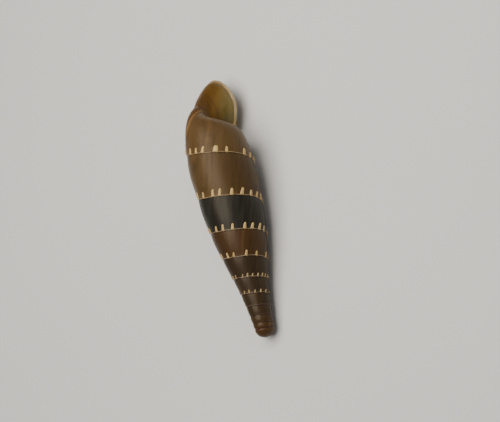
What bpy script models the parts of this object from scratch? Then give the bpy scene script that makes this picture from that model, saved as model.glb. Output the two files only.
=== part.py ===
"""A papillate door snail (family Clausiliidae), life size, resting with its shell laid back on the ground.

The shell is a left-handed spire of eleven whorls. Every whorl is one solid, swept along the helical suture,
and carries its own row of white papillae. The animal is drawn in until only the foot, the tail and the head
with its four short feelers show below the lip.

Shell frame: z runs from the lip (0) to the apex (SHELL_LENGTH), and the aperture faces -y. "Depth" is the
distance from the apex along the axis, and "turns" counts whorls from the first suture.
Row frame: the head looks along +X, +Z is up, and the ground is at Z = 0. All lengths below are in mm.
"""

import math
import random

import bmesh
import bpy
from mathutils import Matrix, Vector

MM = 0.001
GAP = 0.04  # free space left between neighbouring solids

# Shell: driving dimensions
SHELL_LENGTH = 14.15
FIRST_SUTURE = 0.24  # depth of the suture at turn 0
PITCH_STEADY = 0.018  # share of a whorl's height that never grows
PITCH_SCALE = 0.69
PITCH_GROWTH = 0.264  # growth of the whorls, per turn
TURN_ZERO_AZIMUTH = math.radians(40)
START_TURN = -0.75  # the tip of the first whorl
MOUTH_TURN = 10 + 140 / 360  # the tube leaves the axis here, at azimuth 180 degrees
APEX_CAP_DEPTH = 0.45
APEX_CAP_RADIUS = 0.50
APEX_DIMPLE = 0.03  # the very tip lies this much lower than a full dome
# (depth, radius) of the spire's outline below the rounded tip
SPIRE_OUTLINE = (
    (0.45, 0.50), (1.5, 0.61), (2.5, 0.75), (3.4, 0.96), (4.25, 1.16), (5.0, 1.33),
    (5.9, 1.48), (6.8, 1.58), (7.6, 1.64), (9.0, 1.70), (10.0, 1.66), (11.2, 1.55),
)
COLUMELLA_RADIUS = 0.10
SUTURE_INSET = 0.035  # how far a whorl's edges draw in, as a share of its radius
SUTURE_INSET_TIP = 0.09  # the same on the more rounded first whorls

# Last whorl, neck and lip
BASE_DEPTH = (10.90, 13.12)  # depth of the last whorl's base, where the whorl starts and where it ends
BASE_DESCENT = 2.2  # the power by which the base drops from one to the other
BASE_EASE = 12.2  # depth past which the drop eases out, so that the base runs level into the neck
BASE_TAPER = (0.03, 0.28)  # how much the whorl narrows towards its base, at its start and its end
BASE_POWER = (8.0, 4.0)  # squareness of its base, at its start and its end
BASE_RADIUS = (0.20, 0.42)  # radius at which its lowest line runs, at its start and its end
NECK_WAIST = 0.05  # how far the neck draws in midway, as a share of its radius
BULGE_EARLY = 0.50  # below 1 the swelling starts sooner after the whorl
NECK_BULGE = 0.32  # how far its outer side swells there instead
BULGE_PLACE = 0.36  # where round the neck the swelling lies, and how wide it is, as shares of the way round
BULGE_SPREAD = 0.12
MOUTH_CENTRE = Vector((-0.50, -1.55, 1.72))
MOUTH_HALF = (0.95, 1.36)  # half width and half height of the opening
LIP_HALF = (1.27, 1.72)  # the same for the flared rim
MOUTH_SLANT = 0.07  # how far the opening's long axis slants towards the shell's axis
LIP_REACH = 0.22  # how far the rim stands forward of the neck's end
# (distance forward of the lip's back, flare: 0 at the opening's edge and 1 at the rim's) round its section
LIP_PROFILE = (
    (0.0, 0.40), (0.10, 0.62), (0.18, 1.0), (0.27, 1.0), (0.31, 0.80), (0.28, 0.35), (0.15, 0.0), (0.0, 0.0),
)
WALL = 0.13
CAVITY_DEPTH = 0.95

# Papillae
# (papillae in one turn, seed of their irregular spacing), from the lowest turn up
PAPILLA_ROWS = ((17, 17758), (19, 15271), (18, 33039), (13, 14385), (21, 5328), (13, 27480))
PAPILLA_LAST_TURN = 10.530  # the turn at which the lowest row would close
PAPILLA_WANDER = 0.36  # how far each may stray, as a share of the spacing
PAPILLA_LENGTH = 0.38
PAPILLA_WIDTH = 0.18
PAPILLA_RAISE = 0.055
PAPILLA_LEAN = math.radians(20)  # they follow the slanting growth lines
WIDE_PAPILLA_TURN = 10.0425  # two have grown together here, on the last whorl
WIDE_PAPILLA_SCALE = 1.45
PAPILLA_SIZES = (1.0, 1.0, 0.95, 0.8, 0.55, 0.5)  # relative size in each row

# Lamellae: the two folds that stand out from the inner wall of the opening
# (angle round the opening in degrees, distance they stand out, thickness)
LAMELLAE = ((60, 0.42, 0.13), (8, 0.44, 0.16))
LAMELLA_DEPTH = 0.50  # how far each runs into the shell
LAMELLA_FRONT = 0.26  # how far forward of the neck's end each starts
LAMELLA_ROOT = 0.05  # how deep each is set into the lip

# Stance
SHELL_PITCH = math.radians(9)  # the spire droops until it rests on the ground
FLOOR_FLAT = 0.06  # depth of the small flat where the spire touches the ground

# Animal: heights are above the ground, and u is measured forwards from the middle of the opening
FOOT_YAW = math.radians(2)
FOOT_SIDE = 0.22  # how far the sole's middle lies to the left of the opening's middle
# (u, half width, height) along the foot, from the front edge to the tip of the tail
FOOT_STATIONS = (
    (1.62, 0.22, 0.10), (1.52, 0.40, 0.18), (1.24, 0.56, 0.27), (0.70, 0.68, 0.40), (-0.30, 0.74, 0.52),
    (-1.20, 0.72, 0.48), (-2.00, 0.60, 0.36), (-2.80, 0.42, 0.25), (-3.40, 0.25, 0.17), (-3.75, 0.10, 0.10),
)
TAIL_CUT = -1.45
HEAD_CUT = 0.38
FOOT_CUT = 0.34
HEAD_CENTRE = (0.78, 0.68)  # (u, height)
HEAD_SIDE = 0.18  # how far the head's middle lies to the left of the opening's middle
HEAD_HALF = (0.62, 0.50, 0.42)
COLUMN_BACK = 0.38  # how far behind the opening's middle the body passes into the shell
COLUMN_HALF = (0.60, 0.76)
# (drop, share of the size)
COLUMN_LOOPS = ((0.0, 1.0), (0.3, 1.0), (0.6, 0.97), (0.95, 0.88), (1.20, 0.74))
COLLAR_NEAR, COLLAR_FAR = 0.30, 0.78  # how deep the mantle collar lies, from the plane of the lip's back
# (u, side, height) of each feeler's root, (forward, outward, up) of its lean, radius, length
UPPER_FEELER = ((0.98, 0.29, 0.80), (0.76, 0.63, 0.10), 0.24, 0.38)
LOWER_FEELER = ((1.26, 0.22, 0.50), (0.97, 0.16, -0.04), 0.20, 0.12)
EYE_RADIUS = 0.10

# Mesh fineness
STEPS_PER_TURN = 24
APEX_STEPS = 16
LOOP_POINTS = 24

COLOURS = {
    "shell_brown": ((0.16, 0.075, 0.028), 0.35),
    "shell_dark": ((0.045, 0.026, 0.018), 0.33),
    "shell_apex_horn": ((0.20, 0.085, 0.035), 0.35),
    "lip_white": ((0.62, 0.50, 0.34), 0.35),
    "flesh_pale": ((0.30, 0.23, 0.15), 0.40),
    "mantle_cream": ((0.42, 0.33, 0.20), 0.40),
    "flesh_grey": ((0.13, 0.10, 0.075), 0.40),
    "eye_black": ((0.01, 0.01, 0.01), 0.15),
}


def clear_scene():
    for obj in list(bpy.data.objects):
        bpy.data.objects.remove(obj)


def make_collections():
    made = []
    for name in ("door_snail", "cutters"):
        collection = bpy.data.collections.new(name)
        bpy.context.scene.collection.children.link(collection)
        made.append(collection)
    return made


def make_material(name):
    colour, roughness = COLOURS[name]
    material = bpy.data.materials.new(name)
    material.use_nodes = True
    shader = material.node_tree.nodes["Principled BSDF"]
    shader.inputs["Base Color"].default_value = (*colour, 1.0)
    shader.inputs["Roughness"].default_value = roughness
    shader.inputs["Metallic"].default_value = 0.0
    return material


# ---------------------------------------------------------------- shell shape


def smooth_step(x):
    x = min(1.0, max(0.0, x))
    return x * x * (3 - 2 * x)


def suture_depth(turns):
    return FIRST_SUTURE + PITCH_STEADY * turns + PITCH_SCALE * (math.exp(PITCH_GROWTH * turns) - 1)


def azimuth(turns):
    return TURN_ZERO_AZIMUTH + 2 * math.pi * turns


def outline_radius(depth):
    """Radius of the spire's outline: a round tip, then a smooth curve through the stations."""
    if depth < APEX_CAP_DEPTH:
        rise = 1 - max(0.0, depth) / APEX_CAP_DEPTH
        return APEX_CAP_RADIUS * math.sqrt(max(0.0, 1 - rise * rise)) + 1e-4
    stations = SPIRE_OUTLINE
    last = len(stations) - 1
    i = min(last - 1, max(k for k in range(last + 1) if stations[k][0] <= depth))
    (d0, r0), (d1, r1) = stations[i], stations[i + 1]
    before = stations[max(i - 1, 0)]
    after = stations[min(i + 2, last)]
    slope0 = (r1 - before[1]) / (d1 - before[0])
    slope1 = (after[1] - r0) / (after[0] - d0)
    span = d1 - d0
    t = (depth - d0) / span
    return (
        (2 * t**3 - 3 * t**2 + 1) * r0
        + (t**3 - 2 * t**2 + t) * span * slope0
        + (3 * t**2 - 2 * t**3) * r1
        + (t**3 - t**2) * span * slope1
    )


def band_radius(turns, share):
    """Radius of a whorl's outer face; share runs from its upper suture (0) to its lower one (1)."""
    depth = suture_depth(turns) * (1 - share) + suture_depth(turns + 1) * share
    inset = SUTURE_INSET_TIP + (SUTURE_INSET - SUTURE_INSET_TIP) * smooth_step(turns / 6)
    return outline_radius(depth) * (1 - inset * abs(2 * share - 1) ** 2.5)


def spire_section(turns):
    """(radius, depth) round one spire whorl's section, from the upper edge down and back up the columella."""
    top = suture_depth(turns) + GAP / 2
    bottom = suture_depth(turns + 1) - GAP / 2
    outer = [(band_radius(turns, u), top + (bottom - top) * u) for u in (0, 0.1, 0.3, 0.6, 0.85, 1)]
    return outer + [(COLUMELLA_RADIUS, bottom), (COLUMELLA_RADIUS, top)]


def lerp(pair, share):
    return pair[0] + (pair[1] - pair[0]) * share


def body_age(turns):
    """How far round the last whorl: 0 where it starts, 1 at its end."""
    return min(1.0, max(0.0, turns - MOUTH_TURN + 1))


def base_depth(turns):
    """Depth of the last whorl's base, which would end at BASE_DEPTH[1] if its drop did not ease out."""
    depth = lerp(BASE_DEPTH, body_age(turns) ** BASE_DESCENT)
    return depth - max(0.0, depth - BASE_EASE) ** 2 / (2 * (BASE_DEPTH[1] - BASE_EASE))


def body_radius(turns, share):
    """Radius of the last whorl's outer face; share runs from the suture (0) to the base (1)."""
    along = smooth_step((body_age(turns) - 0.1) / 0.8)
    inner = lerp(BASE_RADIUS, smooth_step((body_age(turns) - 0.6) / 0.4))
    rise = 1 - SUTURE_INSET * math.exp(-share / 0.06)
    straight = outline_radius(suture_depth(turns)) * (1 - lerp(BASE_TAPER, along) * share) * rise
    return inner + (straight - inner) * (1 - share ** lerp(BASE_POWER, along)) ** 0.5


def body_section(turns, grow=0.0):
    """(radius, depth) round the last whorl's section, grown outwards by `grow`."""
    start = suture_depth(turns) + GAP / 2
    height = base_depth(turns) - start
    shares = (0, 0.04, 0.14, 0.32, 0.52, 0.70, 0.82, 0.90, 0.95, 0.985, 1)
    outer = [(body_radius(turns, q) + grow * (1 - q**2), start + height * q + grow * q**2) for q in shares]
    free = smooth_step((body_age(turns) - 0.6) / 0.4)
    core = COLUMELLA_RADIUS - grow
    inner = [(core + 0.13 * free, start + height * (0.99 - 0.13 * free))]
    inner += [(core, start + height * 0.55), (core, start)]
    return outer + inner


def in_shell(radius, depth, turns):
    angle = azimuth(turns)
    return Vector((radius * math.cos(angle), radius * math.sin(angle), SHELL_LENGTH - depth))


def even_loop(points, count):
    """The closed loop resampled to `count` points, evenly spaced, starting at its first point."""
    points = [Vector(p) for p in points]
    ends = points[1:] + points[:1]
    lengths = [(b - a).length for a, b in zip(points, ends)]
    total = sum(lengths)
    made = []
    side, walked = 0, 0.0
    for k in range(count):
        target = total * k / count
        while walked + lengths[side] < target:
            walked += lengths[side]
            side += 1
        made.append(points[side].lerp(ends[side], (target - walked) / lengths[side]))
    return made


def mouth_oval(half, centre, y, count=LOOP_POINTS):
    """A pear-shaped ring in a plane of constant y, listed from its upper outer corner."""
    ring = []
    for k in range(4 * count):
        angle = math.radians(118) + 2 * math.pi * k / (4 * count)
        up = math.sin(angle)
        narrow = 1 - 0.17 * max(0.0, up) ** 1.5 - 0.17 * max(0.0, -up) ** 1.5
        side = half[0] * narrow * math.cos(angle) - MOUTH_SLANT * half[1] * up
        ring.append((centre.x + side, y, centre.z + half[1] * up))
    return even_loop(ring, count)


# ---------------------------------------------------------------- mesh building


def new_mesh_object(name, bm, collection, material=None):
    bmesh.ops.recalc_face_normals(bm, faces=bm.faces)
    if bm.calc_volume(signed=True) < 0:
        bmesh.ops.reverse_faces(bm, faces=bm.faces)
    mesh = bpy.data.meshes.new(name)
    bm.to_mesh(mesh)
    bm.free()
    obj = bpy.data.objects.new(name, mesh)
    collection.objects.link(obj)
    if material:
        mesh.materials.append(material)
    else:
        obj.hide_render = True
        obj.display_type = "WIRE"
    return obj


def loft(loops, ring=False):
    """A closed mesh through loops of equal length; ring joins the last loop to the first.

    The last quad of each row is split the other way, so that the ramp under one whorl
    is split like the ramp on top of the next, and the two never touch.
    """
    bm = bmesh.new()
    rows = [[bm.verts.new(Vector(p) * MM) for p in loop] for loop in loops]
    last = len(loops[0]) - 1
    for row, following in zip(rows, rows[1:] + rows[:1] if ring else rows[1:]):
        for k in range(last):
            bm.faces.new((row[k], row[k + 1], following[k + 1]))
            bm.faces.new((row[k], following[k + 1], following[k]))
        bm.faces.new((row[last], row[0], following[last]))
        bm.faces.new((row[0], following[0], following[last]))
    if not ring:
        for row, flip in ((rows[0], False), (rows[-1], True)):
            middle = bm.verts.new(sum((v.co for v in row), Vector()) / len(row))
            for k, vert in enumerate(row):
                following = row[(k + 1) % len(row)]
                bm.faces.new((middle, vert, following) if flip else (middle, following, vert))
    return bm


def apply_boolean(obj, other, operation):
    modifier = obj.modifiers.new("boolean", "BOOLEAN")
    modifier.operation = operation
    modifier.solver = "EXACT"
    modifier.object = other
    modifier.use_self = operation == "UNION"
    graph = bpy.context.evaluated_depsgraph_get()
    mesh = bpy.data.meshes.new_from_object(obj.evaluated_get(graph))
    obj.modifiers.clear()
    old = obj.data
    obj.data = mesh
    bpy.data.meshes.remove(old)


def drop(obj):
    mesh = obj.data
    bpy.data.objects.remove(obj)
    bpy.data.meshes.remove(mesh)


def move_mesh(obj, matrix):
    obj.data.transform(matrix)


def lowest(objects):
    return min(v.co.z for obj in objects for v in obj.data.vertices)


def trim_below_floor(obj):
    """Cuts the mesh off flat at the ground."""
    bm = bmesh.new()
    bm.from_mesh(obj.data)
    cut = bmesh.ops.bisect_plane(
        bm,
        geom=bm.verts[:] + bm.edges[:] + bm.faces[:],
        plane_co=(0, 0, 0),
        plane_no=(0, 0, -1),
        clear_outer=True,
        dist=1e-8,
    )
    edges = [e for e in cut["geom_cut"] if isinstance(e, bmesh.types.BMEdge)]
    if edges:
        bmesh.ops.contextual_create(bm, geom=edges)
    bmesh.ops.recalc_face_normals(bm, faces=bm.faces)
    bm.to_mesh(obj.data)
    bm.free()


# ---------------------------------------------------------------- shell pieces


def sweep_turns(first, last, section):
    """Loops of a helical sweep between two turns, ending GAP short at each end."""
    steps = round((last - first) * STEPS_PER_TURN)
    trim = GAP / 2 / (2 * math.pi * outline_radius(suture_depth(last)))
    loops = []
    for i in range(steps + 1):
        turns = first + (last - first) * i / steps
        turns = min(last - trim, max(first + trim, turns))
        loops.append([in_shell(r, d, turns) for r, d in section(turns)])
    return loops


def papilla(turns, radius, size):
    """A blunt peg on the whorl's upper edge, widest at the suture, leaning with the growth lines."""
    length = size * PAPILLA_LENGTH
    width = size * PAPILLA_WIDTH * (WIDE_PAPILLA_SCALE if abs(turns - WIDE_PAPILLA_TURN) < 0.012 else 1.0)
    bm = bmesh.new()
    bmesh.ops.create_cone(
        bm, segments=5, cap_ends=True, radius1=0.58 * MM, radius2=0.38 * MM, depth=length * MM
    )
    depth = suture_depth(turns) + GAP / 2 + length / 2 + 0.02
    flatten = Matrix.Diagonal((2 * PAPILLA_RAISE, width, 1, 1))
    lean = Matrix.Rotation(-PAPILLA_LEAN, 4, "X")
    upside_down = Matrix.Rotation(math.pi, 4, "X")
    out = Matrix.Translation(Vector((radius, 0, SHELL_LENGTH - depth)) * MM)
    bm.transform(Matrix.Rotation(azimuth(turns), 4, "Z") @ out @ lean @ upside_down @ flatten)
    return bm


def papilla_turns(first, last):
    """The papillae that stand between two turns, as (turn, size) pairs."""
    found = []
    for row, (count, seed) in enumerate(PAPILLA_ROWS):
        rng = random.Random(seed)
        row_start = PAPILLA_LAST_TURN - 1 - row
        strays = [rng.uniform(-PAPILLA_WANDER, PAPILLA_WANDER) for _ in range(count)]
        for k, stray in enumerate(strays):
            turns = row_start + (k + 0.5 + stray) / count
            size = PAPILLA_SIZES[row] * rng.uniform(0.9, 1.12)
            if first < turns < last:
                found.append((turns, size))
    return found


def add_papillae(obj, first, last, radius_of, cutters):
    joined = bmesh.new()
    for turns, size in papilla_turns(first, last):
        piece = papilla(turns, radius_of(turns, 0.10), size)
        mesh = bpy.data.meshes.new("papilla")
        piece.to_mesh(mesh)
        piece.free()
        joined.from_mesh(mesh)
        bpy.data.meshes.remove(mesh)
    pegs = new_mesh_object("papillae", joined, cutters)
    apply_boolean(obj, pegs, "UNION")
    drop(pegs)


def make_whorl(name, first, parts, cutters, material):
    obj = new_mesh_object(name, loft(sweep_turns(first, first + 1, spire_section)), parts, material)
    add_papillae(obj, first + 0.01, first + 0.99, band_radius, cutters)
    return obj


def make_body_whorl(name, parts, cutters, material):
    first = MOUTH_TURN - 1
    obj = new_mesh_object(name, loft(sweep_turns(first, MOUTH_TURN, body_section)), parts, material)
    add_papillae(obj, first + 0.01, MOUTH_TURN - 0.02, body_radius, cutters)
    return obj


def make_apex(name, last, parts, material):
    """All the first whorls in one solid: a strip welded to itself along the suture, closed at both ends."""
    shares = (0, 0.2, 0.5, 0.8)
    first_step = round(START_TURN * APEX_STEPS)
    last_step = round((last - last % (1 / APEX_STEPS)) * APEX_STEPS)
    bm = bmesh.new()

    def point(step, share):
        turns = last - (last_step - step) / APEX_STEPS
        depth = suture_depth(turns) * (1 - share) + suture_depth(turns + 1) * share
        return bm.verts.new(in_shell(band_radius(turns, share), max(0.0, depth), turns) * MM)

    grid = {(i, j): point(i, u) for i in range(first_step, last_step + 1) for j, u in enumerate(shares)}
    rows = len(shares)
    for i in range(last_step + 1, last_step + APEX_STEPS + 1):
        grid[i, 0] = point(i - APEX_STEPS, 1)

    def at(i, j):
        return grid[i + APEX_STEPS, 0] if j == rows else grid[i, j]

    for i in range(first_step, last_step):
        for j in range(rows):
            bm.faces.new((at(i, j), at(i + 1, j), at(i + 1, j + 1), at(i, j + 1)))
    pole = bm.verts.new((0, 0, (SHELL_LENGTH - APEX_DIMPLE) * MM))
    rim = [at(first_step + k, 0) for k in range(APEX_STEPS + 1)]
    rim += [at(first_step, j) for j in range(rows - 1, 0, -1)]
    for k, vert in enumerate(rim):
        bm.faces.new((vert, pole, rim[(k + 1) % len(rim)]))
    ramp = []
    for k in range(APEX_STEPS + 1):
        step = last_step + k
        turns = last - (APEX_STEPS - k) / APEX_STEPS
        centre = in_shell(COLUMELLA_RADIUS, suture_depth(turns + 1), turns)
        ramp.append((grid[step, 0], bm.verts.new(centre * MM)))
    for (outer, inner), (next_outer, next_inner) in zip(ramp, ramp[1:]):
        bm.faces.new((outer, next_outer, next_inner))
        bm.faces.new((outer, next_inner, inner))
    hollow = bm.verts.new((0, 0, (SHELL_LENGTH - suture_depth(last) + 0.25) * MM))
    column = [inner for _, inner in ramp]
    for k, vert in enumerate(column):
        bm.faces.new((vert, column[(k + 1) % len(column)], hollow))
    end = [at(last_step, j) for j in range(rows + 1)]
    for a, b in zip(end, end[1:]):
        bm.faces.new((a, b, column[0]))
    bm.faces.new((end[-1], column[-1], column[0]))
    obj = new_mesh_object(name, bm, parts, material)
    # The neighbours below start half a gap lower, so the tip is lifted by the other half.
    move_mesh(obj, Matrix.Translation((0, 0, GAP / 2 * MM)))
    return obj


def neck_loops(shrink, start, stop, steps):
    """Loops from the last whorl's end section to the mouth, drawn in by `shrink`, between two shares."""
    section = [(-r, 0, SHELL_LENGTH - d) for r, d in body_section(MOUTH_TURN)]
    whorl_end = even_loop(section, LOOP_POINTS)
    centre = sum(whorl_end, Vector()) / LOOP_POINTS
    loops = []
    for i in range(steps + 1):
        share = start + (stop - start) * i / steps
        y = -GAP + (MOUTH_CENTRE.y + LIP_REACH + GAP) * share
        mix = smooth_step(share)
        passed = math.sin(math.pi * min(1.0, share) ** BULGE_EARLY) ** 2
        oval = mouth_oval((MOUTH_HALF[0] + WALL, MOUTH_HALF[1] + WALL), MOUTH_CENTRE, y)
        middle = centre.lerp(MOUTH_CENTRE, mix)
        loop = []
        for k, (a, b) in enumerate(zip(whorl_end, oval)):
            point = a.lerp(b, mix)
            beside = (k / LOOP_POINTS - BULGE_PLACE) / BULGE_SPREAD
            swell = NECK_BULGE * math.exp(-(beside**2)) - NECK_WAIST
            out = Vector((point.x - middle.x, 0, point.z - middle.z))
            point = Vector((middle.x, y, middle.z)) + out * (1 + swell * passed) - out.normalized() * shrink
            loop.append(point)
        loops.append(loop)
    return loops


def grown_body_whorl(cutters):
    loops = sweep_turns(MOUTH_TURN - 1, MOUTH_TURN - 0.02, lambda turns: body_section(turns, GAP))
    return new_mesh_object("grown_body_whorl", loft(loops), cutters)


def grown_penultimate(cutters):
    def section(turns):
        return [(r + (GAP if r > COLUMELLA_RADIUS else -GAP), d) for r, d in spire_section(turns)]

    swept = loft(sweep_turns(MOUTH_TURN - 2, MOUTH_TURN - 1, section))
    return new_mesh_object("grown_penultimate", swept, cutters)


def cut_to_whorls(obj, cutters):
    """Trims a piece that leans against the last two whorls, a gap clear of them."""
    for cutter in (grown_body_whorl(cutters), grown_penultimate(cutters)):
        apply_boolean(obj, cutter, "DIFFERENCE")
        drop(cutter)
    return keep_largest(obj)


def make_neck(name, parts, cutters, material):
    outer = neck_loops(0.0, 0.0, 1.0, 6)
    inner = neck_loops(WALL, 1.0, 1 - CAVITY_DEPTH / abs(MOUTH_CENTRE.y), 4)
    obj = new_mesh_object(name, loft(outer + inner), parts, material)
    return cut_to_whorls(obj, cutters)


def keep_largest(obj):
    """Drops the crumbs that a cut leaves beside the main body."""
    bm = bmesh.new()
    bm.from_mesh(obj.data)
    unseen = set(bm.verts)
    groups = []
    while unseen:
        stack, group = [unseen.pop()], set()
        while stack:
            vert = stack.pop()
            group.add(vert)
            for edge in vert.link_edges:
                other = edge.other_vert(vert)
                if other in unseen:
                    unseen.discard(other)
                    stack.append(other)
        groups.append(group)
    largest = max(groups, key=len)
    bmesh.ops.delete(bm, geom=[v for v in bm.verts if v not in largest], context="VERTS")
    bm.to_mesh(obj.data)
    bm.free()
    return obj


def lamella(angle, reach, thickness, grow=0.0):
    """A thin blade on the opening's inner wall, running into the shell, thinner at its free edge."""
    bm = bmesh.new()
    bmesh.ops.create_cube(bm, size=1)
    for vert in bm.verts:
        edge = 0.45 if vert.co.x < 0 else 1.0
        deep = 0.6 if vert.co.y > 0 and vert.co.x < 0 else 1.0
        vert.co.z *= (thickness + 2 * grow) * edge
        vert.co.x *= (reach + 2 * grow) * deep
        vert.co.y *= LAMELLA_DEPTH + 2 * grow
    turn = math.radians(angle)
    rim = Vector((MOUTH_HALF[0] * math.cos(turn), 0, MOUTH_HALF[1] * math.sin(turn)))
    centre = MOUTH_CENTRE + rim - rim.normalized() * (reach / 2 - LAMELLA_ROOT)
    centre.y += LIP_REACH - LAMELLA_FRONT + LAMELLA_DEPTH / 2
    lean = math.atan2(rim.z, rim.x)
    bm.transform(Matrix.Scale(MM, 4) @ Matrix.Translation(centre) @ Matrix.Rotation(-lean, 4, "Y"))
    return bm


def for_each_lamella(obj, cutters, operation, grow=0.0):
    for shape in LAMELLAE:
        blade = new_mesh_object("lamella", lamella(*shape, grow), cutters)
        apply_boolean(obj, blade, operation)
        drop(blade)


def make_lip(name, parts, cutters, material):
    """The flared rim: a ring whose back rises from the neck and whose front rolls into the opening."""
    back = MOUTH_CENTRE.y + LIP_REACH - GAP
    loops = []
    for forward, flare in LIP_PROFILE:
        half = [lerp(pair, flare) for pair in zip(MOUTH_HALF, LIP_HALF)]
        loops.append(mouth_oval(half, MOUTH_CENTRE, back - forward))
    obj = new_mesh_object(name, loft(loops, ring=True), parts, material)
    for_each_lamella(obj, cutters, "UNION")
    return cut_to_whorls(obj, cutters)


def make_shell(parts, cutters):
    brown, dark = make_material("shell_brown"), make_material("shell_dark")
    horn, white = make_material("shell_apex_horn"), make_material("lip_white")
    first_whorl = MOUTH_TURN - 6
    shell = [make_apex("shell_apex", first_whorl, parts, horn)]
    for k in range(4):
        shell.append(make_whorl(f"shell_spire_whorl_{k + 1}", first_whorl + k, parts, cutters, dark))
    shell.append(make_whorl("shell_penultimate_whorl", MOUTH_TURN - 2, parts, cutters, brown))
    shell.append(make_body_whorl("shell_body_whorl", parts, cutters, brown))
    shell.append(make_neck("shell_neck", parts, cutters, brown))
    shell.append(make_lip("shell_lip", parts, cutters, white))
    shell.append(make_collar("mantle_collar", parts, cutters, make_material("mantle_cream")))
    return shell


def shell_to_row():
    """The shell laid on its opening: the apex points back and droops by the pitch."""
    axes = Matrix(((0, 0, -1, 0), (-1, 0, 0, 0), (0, 1, 0, 0), (0, 0, 0, 1)))
    return Matrix.Rotation(-SHELL_PITCH, 4, "Y") @ axes


# ---------------------------------------------------------------- soft parts


def foot_loop(u, half_width, height, opening):
    """A D-shaped section of the foot: flat below, arched above."""
    yaw = Matrix.Rotation(FOOT_YAW, 3, "Z")
    points = [(-0.98, 0.0), (-0.5, 0.0), (0.0, 0.0), (0.5, 0.0), (0.98, 0.0)]
    arch = [math.radians(degrees) for degrees in range(0, 181, 22)]
    points += [(math.cos(a), 0.12 + 0.88 * math.sin(a)) for a in arch]
    made = []
    for side, up in points:
        place = yaw @ Vector((u, side * half_width + FOOT_SIDE, 0))
        made.append(Vector((opening.x + place.x, opening.y + place.y, up * height)))
    return made


def ball(centre, half, segments=12, rings=8):
    bm = bmesh.new()
    bmesh.ops.create_uvsphere(bm, u_segments=segments, v_segments=rings, radius=1)
    bm.transform(Matrix.Translation(Vector(centre) * MM) @ Matrix.Diagonal((*[h * MM for h in half], 1)))
    return bm


def make_soft_body(cutters, to_row, opening):
    """Foot, head and the column that rises into the shell, as one closed mesh."""
    foot = loft([foot_loop(*station, opening) for station in FOOT_STATIONS])
    body = new_mesh_object("soft_body", foot, cutters)
    head = new_mesh_object("head_ball", head_ball(opening), cutters)
    near = MOUTH_CENTRE.y + LIP_REACH + COLLAR_NEAR - GAP
    centre = MOUTH_CENTRE + Vector((0, 0, COLUMN_BACK))
    loops = []
    for fall, share in COLUMN_LOOPS:
        half = [share * size for size in COLUMN_HALF]
        loops.append(mouth_oval(half, centre, near - fall, 18))
    column = new_mesh_object("column", loft(loops), cutters)
    for_each_lamella(column, cutters, "DIFFERENCE", GAP)
    move_mesh(column, to_row)
    for piece in (head, column):
        apply_boolean(body, piece, "UNION")
        drop(piece)
    return body


def head_ball(opening, grow=0.0):
    u, height = HEAD_CENTRE
    return ball((opening.x + u, opening.y + HEAD_SIDE, height), [half + grow for half in HEAD_HALF])


def make_box(low, high, cutters):
    bm = bmesh.new()
    bmesh.ops.create_cube(bm, size=1)
    low, high = Vector(low) * MM, Vector(high) * MM
    bm.transform(Matrix.Translation((low + high) / 2) @ Matrix.Diagonal((*(high - low), 1)))
    return new_mesh_object("box", bm, cutters)


def cut_piece(body, name, low, high, parts, cutters, material):
    """The part of the soft body that lies inside a box."""
    obj = bpy.data.objects.new(name, body.data.copy())
    parts.objects.link(obj)
    box = make_box(low, high, cutters)
    apply_boolean(obj, box, "INTERSECT")
    drop(box)
    obj.data.materials.clear()
    obj.data.materials.append(material)
    return obj


def make_collar(name, parts, cutters, material):
    """The mantle's thick edge, a plug that fills the neck of the shell behind the lip."""
    depth = abs(MOUTH_CENTRE.y) - LIP_REACH
    loops = neck_loops(WALL + 0.05, 1 - COLLAR_NEAR / depth, 1 - COLLAR_FAR / depth, 3)
    obj = new_mesh_object(name, loft(loops), parts, material)
    for_each_lamella(obj, cutters, "DIFFERENCE", GAP)
    return cut_to_whorls(obj, cutters)


def make_feeler(name, shape, left, opening, parts, cutters, material):
    """A half drawn-in feeler: a rod with a round tip, parted from the head. Returns it and its tip."""
    (u, side, height), (forward, outward, up), radius, length = shape
    side_sign = 1 if left else -1
    root = Vector((opening.x + u, opening.y + HEAD_SIDE + side_sign * side, height))
    lean = Vector((forward, side_sign * outward, up)).normalized()
    rod = ball((0, 0, 0), (radius, radius, radius), 10, 8)
    for vert in rod.verts:
        vert.co.z += length * MM if vert.co.z > 0 else -length * MM
    rod.transform(Matrix.Translation(root * MM) @ lean.to_track_quat("Z", "Y").to_matrix().to_4x4())
    obj = new_mesh_object(name, rod, parts, material)
    head = new_mesh_object("grown_head", head_ball(opening, GAP), cutters)
    apply_boolean(obj, head, "DIFFERENCE")
    drop(head)
    keep_largest(obj)
    return obj, root + lean * (length + radius)


def make_eye(name, feeler, tip, parts, cutters, material):
    """A bead half sunk in the feeler's tip."""
    centre = tip - Vector((0.04, 0, 0))
    socket = new_mesh_object("socket", ball(centre, [EYE_RADIUS + GAP] * 3, 10, 6), cutters)
    apply_boolean(feeler, socket, "DIFFERENCE")
    drop(socket)
    return new_mesh_object(name, ball(centre, [EYE_RADIUS] * 3, 10, 6), parts, material)


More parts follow.
